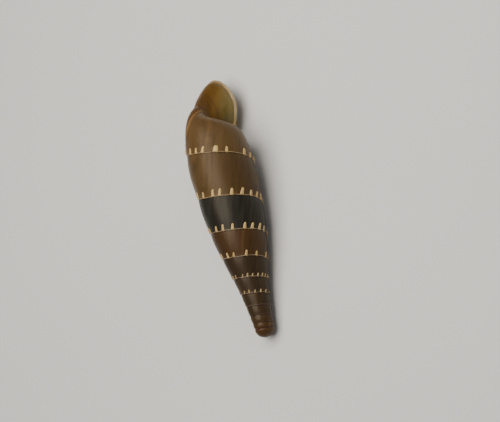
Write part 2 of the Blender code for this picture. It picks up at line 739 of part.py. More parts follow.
def make_animal(parts, cutters, to_row):
    pale, grey, black = [make_material(name) for name in ("flesh_pale", "flesh_grey", "eye_black")]
    opening = (to_row @ (MOUTH_CENTRE * MM)) / MM
    body = make_soft_body(cutters, to_row, opening)
    far, half = 20, GAP / 2
    tail_x, head_x = opening.x + TAIL_CUT, opening.x + HEAD_CUT
    pieces = (
        ("tail", (-far, -far, -1), (tail_x - half, far, far), grey),
        ("foot", (tail_x + half, -far, -1), (far, far, FOOT_CUT - half), pale),
        ("head", (head_x + half, -far, FOOT_CUT + half), (far, far, far), grey),
        ("neck", (tail_x + half, -far, FOOT_CUT + half), (head_x - half, far, far), grey),
    )
    for name, low, high, material in pieces:
        cut_piece(body, name, low, high, parts, cutters, material)
    drop(body)
    for left, side in ((True, "left"), (False, "right")):
        upper, tip = make_feeler(f"feeler_upper_{side}", UPPER_FEELER, left, opening, parts, cutters, grey)
        make_eye(f"eye_{side}", upper, tip, parts, cutters, black)
        make_feeler(f"feeler_lower_{side}", LOWER_FEELER, left, opening, parts, cutters, grey)


def lay_down(shell):
    """Lays the shell on the ground, cuts a small flat where it touches, and returns the move made."""
    to_row = shell_to_row()
    for obj in shell:
        move_mesh(obj, to_row)
    drop_by = Matrix.Translation((0, 0, -lowest(shell) - FLOOR_FLAT * MM))
    for obj in shell:
        move_mesh(obj, drop_by)
        trim_below_floor(obj)
    return drop_by @ to_row


def centre_on_origin(parts):
    """Moves everything so that the origin lies under the middle of the whole animal."""
    points = [v.co for obj in parts.objects for v in obj.data.vertices]
    middle = [(min(p[k] for p in points) + max(p[k] for p in points)) / 2 for k in (0, 1)]
    for obj in parts.objects:
        move_mesh(obj, Matrix.Translation((-middle[0], -middle[1], 0)))


def main():
    clear_scene()
    parts, cutters = make_collections()
    to_row = lay_down(make_shell(parts, cutters))
    make_animal(parts, cutters, to_row)
    centre_on_origin(parts)
    for obj in parts.objects:
        obj.data.shade_smooth()
        obj.data.set_sharp_from_angle(angle=math.radians(40))


main()
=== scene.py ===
# %% [markdown]
# # A papillate door snail at rest, life size
# The shell is a slender, left-coiled spire 14 mm long, horn brown and silky, and its seams carry rows of
# cream papillae. The animal has drawn in under the lip: the sole, the tail and the head with four short
# feelers are all that shows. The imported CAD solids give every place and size. This script lays finer
# surfaces over them and gives each one its finish.

# %% The frame and the tools
import math
import random

import bmesh
import bpy
import numpy as np
from mathutils import Matrix, Vector, noise


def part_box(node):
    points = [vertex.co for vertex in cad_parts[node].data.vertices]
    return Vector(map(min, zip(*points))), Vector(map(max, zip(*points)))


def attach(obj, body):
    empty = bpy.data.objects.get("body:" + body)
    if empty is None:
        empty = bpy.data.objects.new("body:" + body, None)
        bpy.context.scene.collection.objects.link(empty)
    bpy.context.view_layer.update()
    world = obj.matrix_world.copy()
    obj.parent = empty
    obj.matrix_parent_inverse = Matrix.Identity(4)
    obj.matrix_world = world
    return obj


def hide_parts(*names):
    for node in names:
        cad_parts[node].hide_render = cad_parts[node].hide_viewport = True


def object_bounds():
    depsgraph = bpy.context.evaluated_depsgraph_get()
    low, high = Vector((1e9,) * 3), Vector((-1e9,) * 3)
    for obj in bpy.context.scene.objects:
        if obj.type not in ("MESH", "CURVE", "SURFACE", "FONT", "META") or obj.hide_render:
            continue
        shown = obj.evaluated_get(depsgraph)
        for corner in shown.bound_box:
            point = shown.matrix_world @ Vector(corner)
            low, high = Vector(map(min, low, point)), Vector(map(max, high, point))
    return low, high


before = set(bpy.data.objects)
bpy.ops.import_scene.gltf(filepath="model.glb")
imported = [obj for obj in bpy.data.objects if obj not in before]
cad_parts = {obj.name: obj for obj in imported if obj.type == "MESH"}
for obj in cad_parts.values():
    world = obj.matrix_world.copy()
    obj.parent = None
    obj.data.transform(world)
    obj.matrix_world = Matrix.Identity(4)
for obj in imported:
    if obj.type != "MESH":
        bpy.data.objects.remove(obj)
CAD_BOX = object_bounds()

MM = 0.001
print("CAD box in mm:", [[round(c / MM, 3) for c in corner] for corner in CAD_BOX])

# %% [markdown]
# ## Grids of points
# Nearly every surface here is swept: a shell grows by adding to one edge, so it is a grid whose columns are
# moments of growth and whose rows run across the whorl. A lathe or a subdivided cage could give the outline,
# but a grid also knows how old each spot is, and the growth lines and colours follow from that age. The
# helpers below work on whole arrays, so that a hundred thousand points take no time.

# %% Helpers for grids
def smooth_step(x):
    x = np.clip(x, 0.0, 1.0)
    return x * x * (3 - 2 * x)


def blend(a, b, share):
    return a + (b - a) * share


def ring_normals(points):
    """Unit normals of a grid whose last row meets the first, on the side that its faces look to."""
    along = np.gradient(points, axis=0)
    across = np.roll(points, -1, axis=1) - np.roll(points, 1, axis=1)
    normals = np.cross(across, along)
    return normals / np.maximum(np.linalg.norm(normals, axis=2, keepdims=True), 1e-12)


def grid_faces(columns, rows, ring=False):
    """Quads of a grid; ring joins the last row to the first."""
    index = np.arange(columns * rows).reshape(columns, rows)
    if ring:
        index = np.hstack([index, index[:, :1]])
    corners = (index[:-1, :-1], index[:-1, 1:], index[1:, 1:], index[1:, :-1])
    return np.stack([c.ravel() for c in corners], axis=1)


def placed(name, data):
    """A new object that holds the data, put in the scene."""
    made = bpy.data.objects.new(name, data)
    bpy.context.scene.collection.objects.link(made)
    return made


def new_piece(name, points, faces, attributes=None):
    """A smooth-shaded mesh from points in mm in the row frame, with named values stored on its points.

    What would lie below the floor is laid flat on it.
    """
    mesh = bpy.data.meshes.new(name)
    points = np.maximum(np.asarray(points), (-np.inf, -np.inf, 0))
    faces = faces.tolist() if isinstance(faces, np.ndarray) else faces
    mesh.from_pydata((points.reshape(-1, 3) * MM).tolist(), [], faces)
    for key, values in (attributes or {}).items():
        layer = mesh.attributes.new(key, "FLOAT", "POINT")
        layer.data.foreach_set("value", np.asarray(values, np.float32).ravel())
    mesh.shade_smooth()
    print(f"{name}: {len(mesh.vertices)} points")
    return placed(name, mesh)


# %% [markdown]
# ## The law of the coil
# A door snail's shell is a long helix. The seam between two whorls, the suture, moves down a little faster
# with every turn, and the outline swells to its widest at the second last whorl and then narrows to the
# mouth. In the shell's own frame z runs from the lip to the apex, "depth" is the distance from the apex and
# "turns" counts whorls from the first suture. The numbers are those of the solids, so the two agree.

# %% Sizes of the coil, in mm
SHELL_LENGTH = 14.15
FIRST_SUTURE = 0.24
PITCH_STEADY = 0.018
PITCH_SCALE = 0.69
PITCH_GROWTH = 0.264
TURN_ZERO_AZIMUTH = math.radians(40)
START_TURN = -0.75
MOUTH_TURN = 10 + 140 / 360
APEX_CAP_DEPTH = 0.45
APEX_CAP_RADIUS = 0.50
SPIRE_OUTLINE = (
    (0.45, 0.50), (1.5, 0.61), (2.5, 0.75), (3.4, 0.96), (4.25, 1.16), (5.0, 1.33),
    (5.9, 1.48), (6.8, 1.58), (7.6, 1.64), (9.0, 1.70), (10.0, 1.66), (11.2, 1.55),
)
SUTURE_INSET = (0.09, 0.035)


def suture_depth(turns):
    return FIRST_SUTURE + PITCH_STEADY * turns + PITCH_SCALE * (np.exp(PITCH_GROWTH * turns) - 1)


def azimuth(turns):
    return TURN_ZERO_AZIMUTH + 2 * math.pi * turns


def outline_radius(depth):
    """Radius of the outline at any depth: a round tip, then a smooth curve through the stations."""
    depth = np.asarray(depth, float)
    stations = np.array(SPIRE_OUTLINE)
    slopes = np.gradient(stations[:, 1], stations[:, 0])
    k = np.clip(np.searchsorted(stations[:, 0], depth, side="right") - 1, 0, len(stations) - 2)
    d0, r0 = stations[k, 0], stations[k, 1]
    d1, r1 = stations[k + 1, 0], stations[k + 1, 1]
    span = d1 - d0
    t = (depth - d0) / span
    curve = (2 * t**3 - 3 * t**2 + 1) * r0 + (t**3 - 2 * t**2 + t) * span * slopes[k]
    curve += (3 * t**2 - 2 * t**3) * r1 + (t**3 - t**2) * span * slopes[k + 1]
    rise = 1 - np.clip(depth, 0, APEX_CAP_DEPTH) / APEX_CAP_DEPTH
    cap = APEX_CAP_RADIUS * np.sqrt(1 - rise * rise)
    return np.where(depth < APEX_CAP_DEPTH, cap, curve)


def band_radius(turns, share):
    """Radius of a spire whorl's face; share runs from its upper seam (0) to its lower one (1)."""
    depth = blend(suture_depth(turns), suture_depth(turns + 1), share)
    inset = blend(*SUTURE_INSET, smooth_step(turns / 6))
    return outline_radius(depth) * (1 - inset * np.abs(2 * share - 1) ** 2.5)


TURN_TABLE = np.linspace(START_TURN, MOUTH_TURN, 2000)
TURN_LENGTHS = 2 * math.pi * outline_radius(suture_depth(np.maximum(TURN_TABLE, 0)) + 0.2)
GROWN_STEPS = (TURN_LENGTHS[1:] + TURN_LENGTHS[:-1]) / 2 * np.diff(TURN_TABLE)
GROWN_TABLE = np.concatenate([[0], np.cumsum(GROWN_STEPS)])


def grown_length(turns):
    """How many mm of shell the snail has laid down, along the coil, by this turn."""
    return np.interp(turns, TURN_TABLE, GROWN_TABLE)


def turn_at(grown):
    return np.interp(grown, GROWN_TABLE, TURN_TABLE)


print(f"the coil is {grown_length(MOUTH_TURN):.1f} mm long, unrolled")

# %% [markdown]
# ## From the shell's frame to the ground
# The shell lies on its opening with the apex pointing back and drooping until it touches the ground. One
# rotation and one shift say that for every point.

# %% The shell's seat
SHELL_PITCH = math.radians(9)
SHELL_SEAT = np.array((6.865, -0.0244, 2.7328))
LAY_ON_OPENING = np.array(((0, 0, -1), (-1, 0, 0), (0, 1, 0)))
DROOP = np.array(Matrix.Rotation(-SHELL_PITCH, 3, "Y"))
SHELL_TO_ROW = DROOP @ LAY_ON_OPENING


def to_row(points):
    """Points of the shell's frame, in mm, moved to the row frame."""
    return np.asarray(points) @ SHELL_TO_ROW.T + SHELL_SEAT


def around_axis(radius, depth, turns):
    angle = azimuth(turns)
    return np.stack([radius * np.cos(angle), radius * np.sin(angle), SHELL_LENGTH - depth], axis=-1)


print("middle of the lip's plane:", to_row((0, 0, 0)).round(2))

# %% [markdown]
# ## Growth lines
# Each line is an edge where the snail once stopped adding shell. The lines slant a little, they are never
# evenly spaced, and they fade in after the first smooth whorls. An even wave would look machined, so the
# count along the coil is first bent by slow random waves, and each line then gets its own height.

# %% Random waves and the height of the growth lines
GROWTH_LEAN = math.tan(math.radians(18))
LINE_SPACING = 0.125
LINE_HEIGHT = 0.0085
LINE_KNOTS = 4096
PATCH_KNOTS = 256


def wander(x, seed):
    """Smooth random values from -1 to 1 along a line, one knot per unit."""
    knots = np.random.default_rng(seed).uniform(-1, 1, LINE_KNOTS)
    cell = np.floor(x).astype(int)
    return blend(knots[cell % LINE_KNOTS], knots[(cell + 1) % LINE_KNOTS], smooth_step(x - cell))


def patches(x, y, seed):
    """Smooth random values from -1 to 1 over a surface."""
    knots = np.random.default_rng(seed).uniform(-1, 1, (PATCH_KNOTS, PATCH_KNOTS))
    i, j = np.floor(x).astype(int), np.floor(y).astype(int)
    u, v = smooth_step(x - i), smooth_step(y - j)
    left, right = i % PATCH_KNOTS, (i + 1) % PATCH_KNOTS
    near, far = (blend(knots[left, k % PATCH_KNOTS], knots[right, k % PATCH_KNOTS], u) for k in (j, j + 1))
    return blend(near, far, v)


def growth_relief(growth, down):
    """Height of the growth lines; growth is mm along the coil, down is mm below the upper seam."""
    count = growth / LINE_SPACING
    count = count + 0.7 * wander(count * 0.31, 11) + 0.25 * wander(count * 0.9, 12)
    ridge = (0.5 + 0.5 * np.cos(2 * math.pi * count)) ** 1.6
    strength = 0.55 + 0.45 * wander(np.floor(count + 0.5) * 0.77, 13)
    strength = strength * (0.8 + 0.35 * patches(growth * 0.9, down * 1.1, 14))
    swell = 0.010 * wander(growth * 0.55, 15) + 0.006 * patches(growth * 1.3, down * 0.8, 16)
    return LINE_HEIGHT * (ridge * strength - 0.3) + swell


print("growth lines in all:", round(grown_length(MOUTH_TURN) / LINE_SPACING))

# %% [markdown]
# ## The spire
# The whorls above the mouth are one long ribbon, wound round the axis. Its upper edge lies on the whorl
# before, like a shingle, and its lower edge runs on a little under the next whorl, so that no gap opens.
# The ribbon is made whole in one grid, because a cut would show as a step in the lines.

# %% The wound ribbon of the spire
COLUMN_STEP = 0.027
EDGE_STEP = 0.020
TUCK = 0.05  # how deep the ribbon's hidden edges run under the next whorl
DIVE_IN, DIVE_DOWN = 0.02, 0.06  # how the ribbon's first end sinks into the tip
END_SINK = 0.03  # how far its last end sinks under the last whorl
LAST_WHORL_TURN = MOUTH_TURN - 1
SPIRE_SHARES = np.array((0, 0.012, 0.03, 0.06, 0.10, 0.16, 0.24, 0.33, 0.43, 0.53, 0.63, 0.72, 0.80,
                         0.87, 0.92, 0.955, 0.98, 1.0))


def edge_rise(down):
    """How far a whorl's upper edge stands over the whorl before."""
    return EDGE_STEP * np.exp(-np.maximum(down, 0) / 0.09)


def lean_growth(turns, down):
    """Growth lines slant backwards as they run down the whorl, and straighten out towards the mouth."""
    straighten = 1 - smooth_step((turns - MOUTH_TURN + 0.35) / 0.35)
    return grown_length(turns) + GROWTH_LEAN * down * straighten


def spire_point(turns, share):
    """A point on the spire's bare face with its radius and its distance below the upper seam."""
    top = suture_depth(turns)
    down = (suture_depth(turns + 1) - top) * share
    return band_radius(turns, share) + edge_rise(down), down


def joint_fade(turns):
    """1 but at the joint of spire and last whorl, where the growth lines fade so that both meet."""
    return smooth_step(np.abs(turns - LAST_WHORL_TURN) / 0.02)


def make_spire():
    grown = np.arange(0, grown_length(LAST_WHORL_TURN), COLUMN_STEP)
    turns = np.append(turn_at(grown), (LAST_WHORL_TURN, LAST_WHORL_TURN + 0.004))[:, None]
    share = SPIRE_SHARES[None, :]
    radius, down = spire_point(turns, share)
    growth = lean_growth(turns, down)
    grown_up = smooth_step((turns - 2.2) / 2.0)
    relief = growth_relief(growth, down) * grown_up * smooth_step((1 - share) / 0.06)
    radius = radius + relief * joint_fade(turns)
    radius[-1] -= END_SINK
    dive = 1 - smooth_step((turns - START_TURN) / 0.12)
    radius = radius - DIVE_IN * dive
    depth = suture_depth(turns) + down + DIVE_DOWN * dive
    tuck_rise = 0.035 - 0.10 * (1 - smooth_step((turns + 0.1) / 0.5))
    tucked_top = (radius[:, :1] - TUCK, depth[:, :1] - tuck_rise)
    brim = (radius[:, :1] - 0.004, depth[:, :1] - 0.014)
    tucked_foot = (radius[:, -1:] - TUCK, depth[:, -1:] + TUCK)
    radius = np.hstack([tucked_top[0], brim[0], radius, tucked_foot[0]])
    depth = np.hstack([tucked_top[1], brim[1], depth, tucked_foot[1]])
    share = np.hstack([[[0.0, 0.0]], share, [[1.0]]])
    down = np.hstack([down[:, :1], down[:, :1], down, down[:, -1:]])
    growth = np.hstack([growth[:, :1], growth[:, :1], growth, growth[:, -1:]])
    whole_turns = turns + 0 * share
    points = to_row(around_axis(radius, np.maximum(depth, 0.0), whole_turns))
    height = suture_depth(turns + 1) - depth
    values = {"turn": whole_turns, "growth": growth, "down": down, "up": height}
    for key in ("mouth", "pale", "crest", "past"):
        values[key] = 0 * depth
    return points, values


spire_points, spire_values = make_spire()
print("spire grid:", spire_points.shape[:2])

# %% [markdown]
# ## The last whorl and the neck
# The last whorl closes under itself: its section is a ring that bulges outside, turns in at the base and
# climbs back up the axis. From there the shell leaves the axis and runs straight forward as a neck, and the
# ring turns into the pear shape of the mouth. Spire, whorl and neck are one sweep on the real animal, so the
# rows keep their place on the ring all the way, and the growth lines run on without a break.

# %% The ring of the last whorl
COLUMELLA_RADIUS = 0.10
SEAM_GAP = 0.02
BASE_DEPTH = (10.90, 13.12)
BASE_DESCENT = 2.2
BASE_EASE = 12.2
BASE_TAPER = (0.03, 0.28)
BASE_POWER = (8.0, 4.0)
BASE_RADIUS = (0.20, 0.42)
FACE_POINTS = 90
RING_SHARES = np.concatenate([np.linspace(0, 0.012, 4)[:-1], np.linspace(0.012, 0.50, 64)[:-1],
                              np.linspace(0.50, 1, 34)[:-1]])


def body_age(turns):
    return float(np.clip(turns - LAST_WHORL_TURN, 0, 1))


def base_depth(turns):
    """Depth of the last whorl's base: it drops ever faster, then eases out to run level into the neck."""
    depth = blend(*BASE_DEPTH, body_age(turns) ** BASE_DESCENT)
    return depth - max(0.0, depth - BASE_EASE) ** 2 / (2 * (BASE_DEPTH[1] - BASE_EASE))


def body_radius(turns, share):
    """Radius of the last whorl's face; share runs from the seam (0) to the base (1)."""
    age = body_age(turns)
    along = smooth_step((age - 0.1) / 0.8)
    inner = blend(*BASE_RADIUS, smooth_step((age - 0.6) / 0.4))
    rise = 1 - SUTURE_INSET[1] * np.exp(-share / 0.06)
    straight = outline_radius(suture_depth(turns)) * (1 - blend(*BASE_TAPER, along) * share) * rise
    return inner + (straight - inner) * (1 - share ** blend(*BASE_POWER, along)) ** 0.5


def body_ring(turns):
    """(radius, depth) round the last whorl, from the seam down the face and back up along the axis."""
    age = body_age(turns)
    start = suture_depth(turns) + SEAM_GAP
    height = base_depth(turns) - start
    share = 1 - (1 - np.linspace(0, 1, FACE_POINTS)) ** 1.7
    down = height * share
    radius = body_radius(turns, share)
    spire_share = np.clip(down / (suture_depth(turns + 1) - start), 0, 1)
    fresh = 1 - smooth_step((turns - LAST_WHORL_TURN) / 0.22)
    radius = blend(radius, np.maximum(radius, band_radius(turns, spire_share)), fresh * (spire_share < 1))
    radius = radius + edge_rise(down)
    free = smooth_step((age - 0.6) / 0.4)
    inside = ((COLUMELLA_RADIUS + 0.13 * free, start + height * (0.99 - 0.13 * free)),
              (COLUMELLA_RADIUS, start + height * 0.55), (COLUMELLA_RADIUS, start))
    return np.vstack([np.stack([radius, start + down], axis=1), inside])


def spaced(loop, shares):
    """The closed loop sampled at shares of its whole length, and that length."""
    closed = np.vstack([loop, loop[:1]])
    walked = np.concatenate([[0], np.cumsum(np.linalg.norm(np.diff(closed, axis=0), axis=1))])
    at = np.asarray(shares) * walked[-1]
    return np.stack([np.interp(at, walked, closed[:, k]) for k in range(closed.shape[1])], axis=1), walked[-1]


ring_length = spaced(body_ring(MOUTH_TURN), RING_SHARES)[1]
print(f"the last ring is {ring_length:.1f} mm round")

# %% The pear-shaped mouth and the neck
MOUTH_CENTRE = np.array((-0.50, -1.55, 1.72))
MOUTH_HALF = (0.95, 1.36)
LIP_HALF = (1.27, 1.72)
MOUTH_SLANT = 0.07
MOUTH_CORNER = math.radians(118)
LIP_REACH = 0.22
WALL = 0.13
NECK_END = MOUTH_CENTRE[1] + LIP_REACH
NECK_COLUMNS = 54
NECK_REACH = 1.085
NECK_FLARE = 0.24
NECK_WAIST = 0.05
NECK_BULGE = 0.32
BULGE_EARLY = 0.50
BULGE_PLACE = 0.36
BULGE_SPREAD = 0.12


def mouth_ring(half, y, shares, centre=MOUTH_CENTRE):
    """A pear-shaped ring in a plane of constant y, from its upper outer corner."""
    angle = MOUTH_CORNER + np.linspace(0, 2 * math.pi, 720, endpoint=False)
    up = np.sin(angle)
    narrow = 1 - 0.17 * np.maximum(0, up) ** 1.5 - 0.17 * np.maximum(0, -up) ** 1.5
    side = half[0] * narrow * np.cos(angle) - MOUTH_SLANT * half[1] * up
    loop = np.stack([centre[0] + side, np.full_like(side, y), centre[2] + half[1] * up], axis=1)
    return spaced(loop, shares)[0]


def neck_ring(share, shrink, shares=RING_SHARES):
    """The ring at a share of the way from the last whorl (0) to the mouth (1), drawn in by `shrink`."""
    passed = math.sin(math.pi * min(1.0, share) ** BULGE_EARLY) ** 2
    flat, _ = spaced(body_ring(MOUTH_TURN), shares)
    whorl_end = np.stack([-flat[:, 0], 0 * flat[:, 0], SHELL_LENGTH - flat[:, 1]], axis=1)
    half = (MOUTH_HALF[0] + WALL, MOUTH_HALF[1] + WALL)
    y = NECK_END * share
    oval = mouth_ring(half, y, shares)
    mix = smooth_step(share)
    beside = (np.asarray(shares) - BULGE_PLACE) / BULGE_SPREAD
    swell = NECK_BULGE * np.exp(-(beside**2)) - NECK_WAIST
    waist = (1 + swell * passed)[:, None]
    centre = spaced(body_ring(MOUTH_TURN), np.linspace(0, 1, 24, endpoint=False))[0].mean(axis=0)
    start_middle = np.array((-centre[0], 0, SHELL_LENGTH - centre[1]))
    middle = blend(start_middle, MOUTH_CENTRE, mix)
    out = blend(whorl_end, oval, mix) - middle
    out[:, 1] = 0
    unit = out / np.linalg.norm(out, axis=1, keepdims=True)
    return np.array((middle[0], y, middle[2])) + out * waist - unit * shrink


print("neck ends at y", round(NECK_END, 3), "in the shell's frame")

# %% [markdown]
# ## The crest behind the neck
# Just before the neck the shell carries a low crest, as if an older edge had been grown over, with a
# shallow furrow in front of it. It stands 1.3 mm of growth before the neck at the seam, slants back with the
# growth lines down to the widest part, and turns forward again over the base. It is only a height added
# along the surface's normal, so it costs no points, and the same numbers later paint a bright orange line
# on it, a painted glow of light through the shell's thin edge.

# %% The crest
CREST_BACK = 1.33
CREST_SLANT = 0.37
CREST_TURN = 0.45
CREST_MIDDLE = 2.7
CREST_ENDS = (0.3, 3.75)
CREST_HEIGHT = 0.055
CREST_WIDTH = 0.10
GROOVE_DEPTH = 0.045
GROOVE_WIDTH = 0.30


def past_crest(laid, down):
    """How far past the crest a point lies, in mm of growth."""
    back = CREST_BACK + CREST_SLANT * np.minimum(down, CREST_MIDDLE)
    return laid - grown_length(MOUTH_TURN) + back - CREST_TURN * np.maximum(down - CREST_MIDDLE, 0)


def crest_shape(laid, down):
    """(height, closeness to the crest, how far past it from 0 to 1)"""
    reach = smooth_step((down - CREST_ENDS[0]) / 1.2) * smooth_step((CREST_ENDS[1] - down) / 1.1)
    beyond = past_crest(laid, down)
    close = np.exp(-((beyond / CREST_WIDTH) ** 2)) * reach
    groove = np.exp(-(((beyond - GROOVE_WIDTH) / GROOVE_WIDTH) ** 2)) * reach
    height = CREST_HEIGHT * close - GROOVE_DEPTH * groove * smooth_step(beyond / 0.15)
    return height, close, smooth_step((beyond - 0.02) / 0.12) * reach


print("the crest lies", CREST_BACK, "mm before the neck")

# %% The last whorl and neck as one grid
LEAN_END = 3.2  # how far below the seam the growth lines stop slanting


def make_last_whorl():
    first = grown_length(LAST_WHORL_TURN)
    grown = np.arange(first, grown_length(MOUTH_TURN), COLUMN_STEP)
    columns, turn, growth, down, mouth, laid = [], [], [], [], [], []
    for mm, turns in zip(grown, turn_at(grown)):
        flat, length = spaced(body_ring(turns), RING_SHARES)
        columns.append(around_axis(flat[:, 0], flat[:, 1], turns))
        turn.append(np.full(len(flat), turns))
        down.append(RING_SHARES * length)
        growth.append(lean_growth(turns, np.minimum(down[-1], LEAN_END)))
        mouth.append(np.zeros(len(flat)))
        laid.append(np.full(len(flat), mm))
    for share in np.linspace(0, NECK_REACH, NECK_COLUMNS):
        columns.append(neck_ring(share, -NECK_FLARE * smooth_step((share - 0.62) / 0.92) ** 1.2))
        turn.append(np.full(len(RING_SHARES), MOUTH_TURN + 0.13 * share))
        down.append(RING_SHARES * ring_length)
        laid.append(np.full(len(RING_SHARES), grown_length(MOUTH_TURN) + share * abs(NECK_END)))
        growth.append(laid[-1])
        mouth.append(np.full(len(RING_SHARES), min(1.0, share)))
    points = to_row(np.array(columns))
    turn, growth, down, mouth, laid = (np.array(v) for v in (turn, growth, down, mouth, laid))
    relief = growth_relief(growth, down) * smooth_step(down / 0.05) * smooth_step((ring_length - down) / 0.4)
    relief = relief * joint_fade(turn) * (1 - 0.75 * smooth_step((mouth - 0.1) / 0.5))
    crest_height, crest, past = crest_shape(laid, down)
    points = points + ring_normals(points) * (relief + crest_height)[..., None]
    values = {"turn": turn, "growth": growth, "down": down, "up": np.ones_like(down), "mouth": mouth}
    pale = smooth_step((RING_SHARES - 0.50) / 0.16) * smooth_step((0.98 - RING_SHARES) / 0.14)
    values.update({"pale": pale + 0 * down, "crest": crest, "past": past})
    return points, values


last_points, last_values = make_last_whorl()
print("last whorl and neck:", last_points.shape[:2])

# %% Joining spire, last whorl and neck in one piece
TIP_SINK = 0.015
TIP_REACH = 0.47


def joined_grids(grids):
    """Points, faces and values of several grids, each given as (points, values, ring), as one mesh."""
    faces, start = [], 0
    for points, _, ring in grids:
        faces.append(grid_faces(*points.shape[:2], ring=ring) + start)
        start += points.shape[0] * points.shape[1]
    points = np.vstack([g[0].reshape(-1, 3) for g in grids])
    values = {key: np.concatenate([g[1][key].ravel() for g in grids]) for key in grids[0][1]}
    return points, np.vstack(faces), values


def make_tip():
    """The dome that the first whorl winds round, a little lower than the ribbon that lies on it."""
    reach = np.linspace(0.001, TIP_REACH, 26)[::-1, None]
    angle = np.linspace(0, 2 * math.pi, 72, endpoint=False)[None, :]
    depth = APEX_CAP_DEPTH * (1 - np.sqrt(1 - (reach / APEX_CAP_RADIUS) ** 2)) + TIP_SINK
    x, y = reach * np.cos(angle), reach * np.sin(angle)
    points = np.stack([x, y, SHELL_LENGTH - depth + 0 * angle], axis=-1)
    flat = 0 * x
    values = {key: flat for key in ("turn", "mouth", "pale", "crest", "past")}
    values.update({"growth": x, "down": 0.4 + y, "up": flat + 0.2})
    return to_row(points), values


tip_points, tip_values = make_tip()
points, faces, values = joined_grids([
    (spire_points, spire_values, False), (last_points, last_values, True), (tip_points, tip_values, True),
])
shell = new_piece("shell_coil", points, faces, values)

# %% [markdown]
# ## The lip
# Round the mouth the shell turns outward into a thick, pale rim, and behind the rim's inner edge the throat
# runs back into the neck. One grid does both: its columns are rings, each a little further forward or back
# and a little wider or narrower than the last, so the whole lip is given by one short profile.

# %% The lip's rim and the throat
# (distance forward of the lip's back, flare: 0 at the opening's edge and 1 at the rim's edge)
LIP_PROFILE = (
    (-0.05, 0.34), (0.0, 0.40), (0.06, 0.50), (0.11, 0.66), (0.15, 0.86), (0.185, 0.97), (0.225, 1.0),
    (0.265, 0.99), (0.295, 0.93), (0.310, 0.82), (0.308, 0.68), (0.295, 0.50), (0.270, 0.32), (0.23, 0.17),
    (0.17, 0.07), (0.09, 0.015), (0.0, 0.0),
)
THROAT_SHARES = np.linspace(0.94, 0.30, 14)
AROUND = np.linspace(0, 1, 220, endpoint=False)


def make_lip():
    columns, out, front = [], [], []
    walked = np.linspace(0, len(LIP_PROFILE) - 1, 49)
    profile = np.array(LIP_PROFILE)
    for at in walked:
        forward, flare = (np.interp(at, np.arange(len(profile)), profile[:, k]) for k in (0, 1))
        half = [blend(inner, outer, flare) for inner, outer in zip(MOUTH_HALF, LIP_HALF)]
        columns.append(mouth_ring(half, NECK_END - SEAM_GAP - forward, AROUND))
        out.append(np.full(len(AROUND), flare))
        front.append(np.full(len(AROUND), at / walked[-1]))
    for share in THROAT_SHARES:
        columns.append(neck_ring(share, WALL, AROUND))
        out.append(np.zeros(len(AROUND)))
        front.append(np.full(len(AROUND), 1.0 + (1 - share)))
    points = np.array(columns)
    around = np.array([AROUND] * len(columns))
    front = np.array(front)
    worn = 0.012 * patches(around * 40, front * 3, 21) + 0.008 * patches(around * 90, front * 6, 22)
    points = to_row(points)
    points = points + ring_normals(points) * (worn * smooth_step(front / 0.1))[..., None]
    return points, {"around": around, "flare": np.array(out), "front": front}


lip_points, lip_values = make_lip()
lip = new_piece("lip_rim", lip_points, grid_faces(*lip_points.shape[:2], ring=True), lip_values)

# %% [markdown]
# ## The two folds in the mouth
# Door snails have folds on the inner wall that guide their little door. Two reach far enough forward to be
# seen. Each is a low ridge, thick at its root and thin at its free edge, that rises behind the lip and runs
# back into the throat: a grid again, with one row of points over the ridge for every step along it.

# %% The folds
# (angle round the opening in degrees, distance the fold stands out, its thickness)
FOLDS = ((60, 0.42, 0.13), (8, 0.44, 0.16))
FOLD_LENGTH = 0.50
FOLD_FRONT = 0.26
FOLD_ROOT = 0.05
FOLD_LEAN = 0.16


def make_fold(name, angle, reach, thickness):
    turn = math.radians(angle)
    rim = np.array((MOUTH_HALF[0] * math.cos(turn), 0, MOUTH_HALF[1] * math.sin(turn)))
    inward = -rim / np.linalg.norm(rim)
    sideways = np.cross(inward, (0, 1, 0))
    along = np.linspace(0, 1, 30)[:, None]
    over = np.linspace(-1, 1, 25)[None, :]
    crest = smooth_step(along / 0.35) * blend(1.0, 0.62, smooth_step((along - 0.5) / 0.5))
    crest = reach * crest * (1 + 0.04 * wander(along * 7, 31))
    up = crest * (1 - np.abs(over) ** 2.6)
    side = thickness * 0.5 * np.sign(over) * np.abs(over) * (0.45 + 0.75 * (1 - up / reach))
    back = LIP_REACH - FOLD_FRONT + FOLD_LENGTH * along + 0 * over
    start = MOUTH_CENTRE + rim - inward * (FOLD_ROOT - FOLD_LEAN * along[..., None])
    ridge = up[..., None] * inward + side[..., None] * sideways
    points = start + ridge + back[..., None] * np.array((0, 1, 0))
    return new_piece(name, to_row(points), grid_faces(*points.shape[:2]), {"rise": up / reach})


folds = [make_fold(f"mouth_fold_{k + 1}", *fold) for k, fold in enumerate(FOLDS)]

# %% [markdown]
# ## The seam's thread
# A fine pale thread runs along the seam and joins the feet of the papillae. It isn't quite straight, and it
# thins out towards the tip. It is a tube swept along the coil, wandering a hundredth of a millimetre.

# %% The thread
THREAD_STEP = 0.045
THREAD_RADIUS = 0.021
THREAD_LEAST = 0.002
THREAD_START = 0.6
THREAD_END = MOUTH_TURN + 0.02


def seam_radius(turns):
    """Radius of the coil's face at its upper seam."""
    return band_radius(np.minimum(turns, LAST_WHORL_TURN), 0.0) + EDGE_STEP


def last_seam_radius(turns):
    return np.array([body_ring(t)[0, 0] for t in turns])


